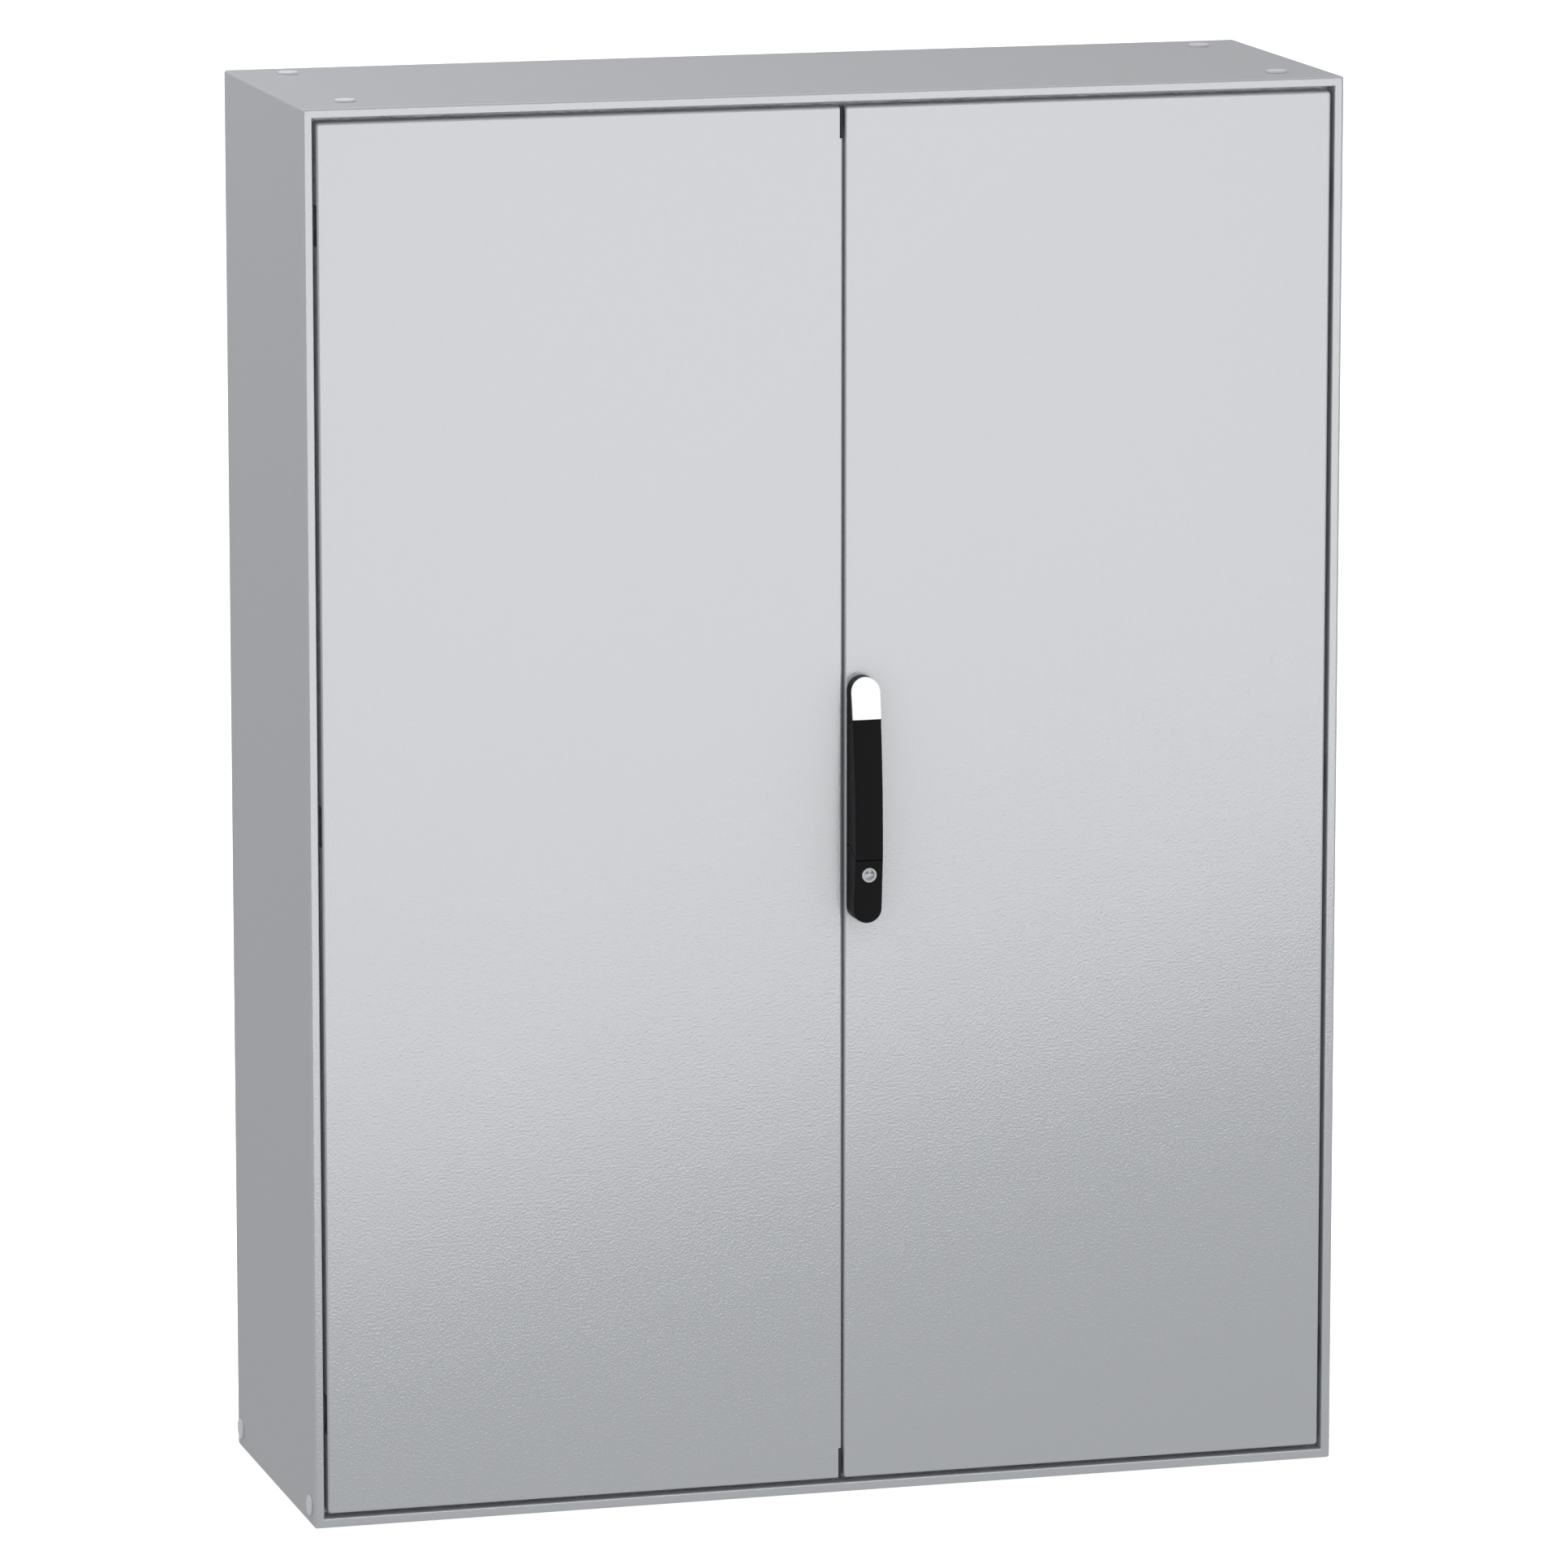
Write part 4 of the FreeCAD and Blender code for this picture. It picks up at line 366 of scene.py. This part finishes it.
def handleShell(name, spec):
    # half of the shell is a grid: rows follow the outline from the start seam to the far end, columns
    # run from the middle of the underside out to the rim, up the side, over a rounded edge and back
    # to the middle of the face. An outline point moves in along its own normal. The other half is
    # the mirror of this one. A flat end is closed across its width; a round end closes by itself.
    floor, top, edge = spec["floor"], spec["top"], spec["edge"]
    half = handle["halfWidth"]
    arcRows, runRows = 20, 26
    columnCounts = {"under": 5, "side": 12, "turn": 7, "face": 8}
    kind = np.repeat(list(columnCounts), list(columnCounts.values()))
    step = np.concatenate([np.linspace(1, 0, columnCounts["under"]),
                           np.linspace(0, 1, columnCounts["side"]),
                           np.linspace(0, math.pi / 2, columnCounts["turn"] + 1)[1:],
                           np.linspace(0, 1, columnCounts["face"] + 1)[1:]])[None, :]
    if spec["end"] is None:
        run, angle = np.linspace(0, 1, runRows)[:, None], np.zeros((runRows, 1))
    else:
        run = np.concatenate([np.linspace(0, 1, runRows), np.ones(arcRows)])[:, None]
        roundTurn = np.linspace(0, math.pi / 2, arcRows + 1)[1:]
        angle = np.concatenate([np.zeros(runRows), roundTurn])[:, None]
    way = spec.get("way", 1)
    z = np.full((run.shape[0], step.shape[1]), float(spec["middle"]))
    for _ in range(6):                       # height, inward move and level depend on each other
        roof, low = top(z), floor(z)
        shoulder = roof - handle["crown"] - edge
        bulge = 1 - np.sin(step * math.pi / 2) ** handle["crownCurve"]
        h = np.select([kind == "under", kind == "side", kind == "turn"],
                      [low, low + step * (shoulder - low),
                       roof - handle["crown"] - edge * (1 - np.sin(step))],
                      roof - handle["crown"] * bulge)
        lean = np.maximum(np.minimum(h, shoulder) - handle["skirt"], 0) \
            * math.tan(math.radians(handle["taper"]))
        lean = np.where(kind == "under", 0, lean)
        inward = np.select([kind == "under", kind == "side", kind == "turn"],
                           [step * half, lean, lean + edge * (1 - np.cos(step))],
                           lean + edge + (half - lean - edge) * step)
        startLevel = spec["start"](h)
        endLevel = spec["finish"](h) if spec["end"] is None else spec["end"]
        z = startLevel + (endLevel - startLevel) * run + way * (half - inward) * np.sin(angle)
    x = -(half - inward) * np.cos(angle)
    y = doorFace - h
    left = np.stack([handle["x"] + x, y, z], axis=-1)
    right = np.stack([handle["x"] - x, y, z], axis=-1)
    rows, columns = x.shape
    count = rows * columns
    faces = gridFaces(rows, columns) + gridFaces(rows, columns, first=count, flip=True)
    for row in [0] if spec["end"] is not None else [0, rows - 1]:
        a = row * columns + np.arange(columns - 1)
        faces += np.stack([a, a + 1, a + 1 + count, a + count], axis=-1).tolist()
    return meshObject(name, np.concatenate([left.reshape(-1, 3), right.reshape(-1, 3)]) * mm, faces)


# floor and top: height above the door at a level; start and finish: level of a seam at a height;
# end: level where a round end begins, with way -1 where it points down; middle: first guess of level
overPlate = handle["plate"] + handle["gap"]
upperEnd = handle["top"] - handle["halfWidth"]
lowerEnd = handle["bottom"] + handle["halfWidth"]
lever = handleShell("leverShell", {
    "floor": lambda z: z * 0 + overPlate, "top": crest, "edge": handle["edge"],
    "start": nose, "finish": lambda h: knuckle(h, handle["gap"]), "end": None, "middle": 820})
dress(lever, materials["satinPolyamide"], "handle_lever", ("handle_lever",))

# the base is the block with the lock, below the seam, and a flat plate behind lever and head
block = handleShell("blockShell", {
    "floor": lambda z: z * 0 + handle["foot"], "top": crest, "edge": handle["edge"],
    "start": lambda h: nose(h) - handle["seamGap"], "end": lowerEnd, "way": -1, "middle": 700})
basePlate = handleShell("basePlateShell", {
    "floor": lambda z: z * 0 + handle["foot"],
    "top": lambda z: z * 0 + handle["plate"] + handle["crown"], "edge": handle["thinEdge"],
    "start": lambda h: h * 0 + handle["plateStart"], "end": upperEnd, "middle": 840})

# the head carries the white cap, whose thin skin follows the back
head = handleShell("headShell", {
    "floor": lambda z: z * 0 + overPlate,
    "top": lambda z: crest(z) - handle["capSkin"] + handle["crown"], "edge": handle["thinEdge"],
    "start": knuckle, "end": upperEnd, "middle": 915})
cap = handleShell("capShell", {
    "floor": lambda z: crest(z) - handle["capSkin"] - handle["capOverlap"], "top": crest,
    "edge": handle["capEdge"], "start": lambda h: h * 0 + handle["capStart"], "end": upperEnd,
    "middle": 915})
dress(head, materials["satinPolyamide"], "handle_head", ("handle_head",))
dress(cap, materials["glossAbs"], "handle_head", ("head_cap",))
coated.append(cap)
print("handle shells made")

# ------ lock insert

lockInsert = {"x": 36, "level": 721, "radius": 8.55, "recess": 5.6, "recessDepth": 6.5, "proud": 0.35,
              "chamfer": 0.5, "core": 2.6, "bar": 1.0, "coreTop": 1.5, "coreChamfer": 0.4,
              "coreShrink": 0.93, "length": 14.5, "boreGap": 0.12, "boreStart": 40, "boreLength": 28}


def turned(profile, steps, origin, axis):
    # a lathe shape: each profile point (radius, distance along the axis) goes round a full circle
    profile = np.asarray(profile, float)
    around = np.linspace(0, 2 * math.pi, steps, endpoint=False)
    axis = np.asarray(axis, float)
    across = np.cross(axis, (0, 0, 1) if abs(axis[2]) < 0.9 else (1, 0, 0))
    across = across / np.linalg.norm(across)
    other = np.cross(axis, across)
    ring = np.cos(around)[:, None] * across + np.sin(around)[:, None] * other
    points = np.asarray(origin) + profile[:, None, :1] * ring[None] + profile[:, None, 1:] * axis
    return points * mm, gridFaces(len(profile), steps, wrap=True)


def roundedProfile(corners, radius=0.4, steps=4):
    # replaces each inner corner of a profile by a short arc that is tangent to both its sides
    corners = np.asarray(corners, float)
    out = [corners[0]]
    for before, at, after in zip(corners[:-2], corners[1:-1], corners[2:]):
        toBefore, toAfter = before - at, after - at
        reach = min(radius, np.linalg.norm(toBefore) * 0.45, np.linalg.norm(toAfter) * 0.45)
        start = at + toBefore / np.linalg.norm(toBefore) * reach
        end = at + toAfter / np.linalg.norm(toAfter) * reach
        s = np.linspace(0, 1, steps + 1)[:, None]
        out += list((1 - s) ** 2 * start + 2 * s * (1 - s) * at + s ** 2 * end)
    out.append(corners[-1])
    return np.array(out)


def lockBarrel():
    # a barrel with a round key recess, and the key's male part standing in it
    spec = lockInsert
    front = crest(np.array(spec["level"])) + spec["proud"]
    deep, back, cut = front - spec["recessDepth"], front - spec["length"], spec["chamfer"]
    barrel = roundedProfile([(0, deep), (spec["recess"], deep), (spec["recess"], front - cut),
                             (spec["recess"] + cut, front), (spec["radius"] - cut, front),
                             (spec["radius"], front - cut), (spec["radius"], back), (0, back)], 0.25)
    points, faces = turned(barrel, 64, (spec["x"], doorFace, spec["level"]), (0, -1, 0))
    parts, links = [points.reshape(-1, 3)], list(faces)
    count = parts[0].shape[0]
    # the male part is a round core with a bar on each side, drawn as one outline and raised
    reach = math.asin(spec["bar"] / spec["core"])
    arc = np.linspace(reach, math.pi - reach, 14)
    upper = np.stack([spec["core"] * np.cos(arc), spec["core"] * np.sin(arc)], axis=-1)
    edgeX = math.sqrt(spec["recess"] ** 2 - spec["bar"] ** 2)
    outlinePoints = np.concatenate([[(edgeX, spec["bar"])], upper, [(-edgeX, spec["bar"])],
                                    [(-edgeX, -spec["bar"])], -upper, [(edgeX, -spec["bar"])]])
    tip = front - spec["coreTop"]
    levels = np.array([[1.0, deep - cut], [1.0, tip - spec["coreChamfer"]], [spec["coreShrink"], tip]])
    raised = np.stack([np.concatenate([outlinePoints[:, :1] * scale + spec["x"],
                                       np.full((len(outlinePoints), 1), doorFace - level),
                                       outlinePoints[:, 1:] * scale + spec["level"]], axis=1)
                       for scale, level in levels]) * mm
    n = len(outlinePoints)
    parts.append(raised.reshape(-1, 3))
    links += gridFaces(3, n, first=count, wrap=True)
    links.append((np.arange(n) + count + 2 * n).tolist())
    links.append((np.arange(n)[::-1] + count).tolist())
    return meshObject("lockBarrel", np.concatenate(parts), links)


dress(lockBarrel(), materials["chromePlate"], "lock", ("lock_insert",),
      sharp=40)


def bored(thing, radius, origin, axis, length):
    # cuts a round hole, then keeps the result as plain mesh
    points, faces = turned([(0, 0), (radius, 0), (radius, length), (0, length)], 64, origin, axis)
    cutter = meshObject("boreCutter", points, faces)
    boolean = thing.modifiers.new("bore", "BOOLEAN")
    boolean.operation = "DIFFERENCE"
    boolean.solver = "EXACT"
    boolean.object = cutter
    bpy.context.view_layer.update()
    result = bpy.data.meshes.new_from_object(thing.evaluated_get(bpy.context.evaluated_depsgraph_get()))
    thing.modifiers.clear()
    work = bmesh.new()
    work.from_mesh(result)
    bmesh.ops.remove_doubles(work, verts=work.verts, dist=3e-5)
    bmesh.ops.dissolve_degenerate(work, edges=work.edges, dist=1e-5)
    work.to_mesh(result)
    work.free()
    thing.data = result
    bpy.data.objects.remove(cutter)
    return thing


bored(block, lockInsert["radius"] + lockInsert["boreGap"],
      (lockInsert["x"], doorFace - lockInsert["boreStart"], lockInsert["level"]), (0, 1, 0),
      lockInsert["boreLength"])
base = joined("baseShell", (block, basePlate))
dress(base, materials["satinPolyamide"], "right_door", ("handle_base",))
print("lock insert made")

# ------ hole plugs

plug = {"cap": 11.5, "rise": 2.8, "stem": 7.8, "depth": 5,
        "roofX": 539, "roofY": 142, "sideY": 179, "sideZ": 23}


def plugShell(name, places):
    # a flat cap with a short upright rim, on a short stem
    r, t = plug["cap"], plug["rise"]
    profile = roundedProfile([(0, t), (r * 0.55, t), (r - 0.25, t - 0.08), (r, t - 0.6), (r, 0.3),
                              (r - 0.3, 0), (plug["stem"], 0), (plug["stem"], -plug["depth"]),
                              (0, -plug["depth"])], 0.35)
    points, faces = [], []
    for origin, axis in places:
        shape, links = turned(profile, 56, origin, axis)
        start = sum(len(part) for part in points)
        points.append(shape.reshape(-1, 3))
        faces += (np.array(links) + start).tolist()
    return meshObject(name, np.concatenate(points), faces)


corners = [(sx, sy) for sx in (-1, 1) for sy in (-1, 1)]
roofPlugs = plugShell("roofPlugs", [
    ((sx * plug["roofX"], sy * plug["roofY"], caseSize["height"]), (0, 0, 1)) for sx, sy in corners])
dress(roofPlugs, materials["mouldedPlug"], "casing", ("top_plugs",), sharp=50)
sidePlugs = plugShell("flankPlugs", [
    ((sx * caseSize["width"] / 2, sy * plug["sideY"], plug["sideZ"]), (sx, 0, 0))
    for sx, sy in corners])
dress(sidePlugs, materials["mouldedPlug"], "casing", ("side_plugs",), sharp=50)
print("plugs made")

# ------ studio

studio = {"floorHalf": 40.0, "floorLevel": -0.0005, "floorColour": "#f7f7f7", "floorGlow": 0.62,
          "sky": 0.82, "backWall": 0.41, "wallFrom": 0.45, "wallTo": 0.95,
          "leftShare": 0.86, "rightShare": 1.05, "skyColour": (0.985, 0.995, 1.0, 1),
          "cardRadiance": 5.2, "cardWidth": 2.5, "cardHeight": 2.0, "cardAway": 2.2,
          "cardRoll": 12.93, "cardFoot": (0.745, 0.031)}

edge = np.linspace(-1, 1, 3) * studio["floorHalf"]
gx, gy = np.meshgrid(edge, edge, indexing="xy")
floor = meshObject("studioFloor", np.stack([gx, gy, gx * 0 + studio["floorLevel"]], axis=-1),
                   gridFaces(3, 3))
floorMaterial = bpy.data.materials.new("paleFloor")
floorMaterial.use_nodes = True
floorTree = floorMaterial.node_tree
floorTree.nodes.clear()
floorPaint = addNode(floorTree, "BsdfPrincipled", {
    "Base Color": linear(studio["floorColour"]), "Roughness": 0.9, "Specular IOR Level": 0.0,
    "Emission Color": (1, 1, 1, 1), "Emission Strength": studio["floorGlow"]})
addNode(floorTree, "OutputMaterial", {"Surface": floorPaint.outputs["BSDF"]})
floor.data.materials.append(floorMaterial)
floor.visible_diffuse = False
floor.visible_glossy = False
floor.visible_shadow = False

world = bpy.data.worlds.new("studioSky")
bpy.context.scene.world = world
world.use_nodes = True
world.node_tree.nodes.clear()
# a light studio that falls off towards its dark back wall, and a little towards the left
skyTree = world.node_tree
toward = addNode(skyTree, "SeparateXYZ", {"Vector": addNode(skyTree, "TexCoord").outputs["Generated"]})
backWall = addNode(skyTree, "MapRange", {
    "Value": toward.outputs["Y"], "From Min": studio["wallFrom"], "From Max": studio["wallTo"],
    "To Min": studio["sky"], "To Max": studio["backWall"]}, interpolation_type="SMOOTHSTEP")
sideShare = addNode(skyTree, "MapRange", {
    "Value": toward.outputs["X"], "From Min": -1.0, "From Max": 1.0,
    "To Min": studio["leftShare"], "To Max": studio["rightShare"]})
level = addNode(skyTree, "Math", {0: backWall.outputs["Result"], 1: sideShare.outputs["Result"]},
                operation="MULTIPLY")
sky = addNode(skyTree, "Background", {"Color": studio["skyColour"], "Strength": level.outputs["Value"]})
addNode(skyTree, "OutputWorld", {"Surface": sky.outputs["Background"]})


def softBox(name, place, axes, size, radiance):
    # a soft box that shines evenly; its power follows from its area and how bright its face is
    light = bpy.data.lights.new(name, "AREA")
    light.shape = "RECTANGLE"
    light.size, light.size_y = size
    light.energy = radiance * math.pi * size[0] * size[1]
    lamp = bpy.data.objects.new(name, light)
    bpy.context.scene.collection.objects.link(lamp)
    turn = np.eye(4)
    turn[:3, :3] = np.stack(axes, axis=1)
    turn[:3, 3] = place
    lamp.matrix_world = turn.T.tolist()
    return lamp


def aimed(place, target):
    # the light's own axes when it stands level and its back points away from the target
    away = np.asarray(place, float) - np.asarray(target, float)
    away = away / np.linalg.norm(away)
    sideways = np.cross((0, 0, 1), away)
    sideways = sideways / np.linalg.norm(sideways)
    return sideways, np.cross(away, sideways), away


# a card parallel to the doors, which mirror it; its lower edge is rolled and so shows as a soft
# slanting boundary across the paint. It lights by reflection only.
roll = math.radians(studio["cardRoll"])
along = np.array((math.cos(roll), 0, math.sin(roll)))
up = np.array((-math.sin(roll), 0, math.cos(roll)))
cardPlace = np.array((studio["cardFoot"][0], -studio["cardAway"], studio["cardFoot"][1])) \
    + up * studio["cardHeight"] / 2
card = softBox("doorCard", cardPlace, (along, up, np.array((0.0, -1.0, 0.0))),
               (studio["cardWidth"], studio["cardHeight"]), studio["cardRadiance"])
card.visible_diffuse = False
card.visible_camera = False
mirrors = bpy.data.collections.new("cardMirrors")
for thing in coated:
    mirrors.objects.link(thing)
card.light_linking.receiver_collection = mirrors
# two square boxes: a weak one from high in front, and one over the roof
boxes = {"frontFill": {"place": (1.5, -6.0, 4.5), "target": (0, 0, 0.8), "width": 3.0, "radiance": 0.9},
         "roofLight": {"place": (-1.5, 0.2, 3.6), "target": (-1.5, 0.19, 0), "width": 1.2,
                       "radiance": 7.0}}
for name, spec in boxes.items():
    lamp = softBox(name, spec["place"], aimed(spec["place"], spec["target"]),
                   (spec["width"], spec["width"]), spec["radiance"])
    lamp.visible_camera = False
    lamp.visible_glossy = False
print("studio lit")

view = {"lens": 223.05, "sensor": 36.0, "far": 200.0, "place": (-2.9253, -10.5162, 2.8177),
        "down": 10.5504, "heading": -15.5542}
cameraData = bpy.data.cameras.new("studioCamera")
cameraData.lens = view["lens"]
cameraData.sensor_width = view["sensor"]
cameraData.sensor_fit = "HORIZONTAL"
cameraData.clip_end = view["far"]
camera = bpy.data.objects.new("studioCamera", cameraData)
camera.location = view["place"]
camera.rotation_euler = (math.radians(90 - view["down"]), 0, math.radians(view["heading"]))
bpy.context.scene.collection.objects.link(camera)
bpy.context.scene.camera = camera
bpy.context.scene.view_settings.view_transform = "Standard"
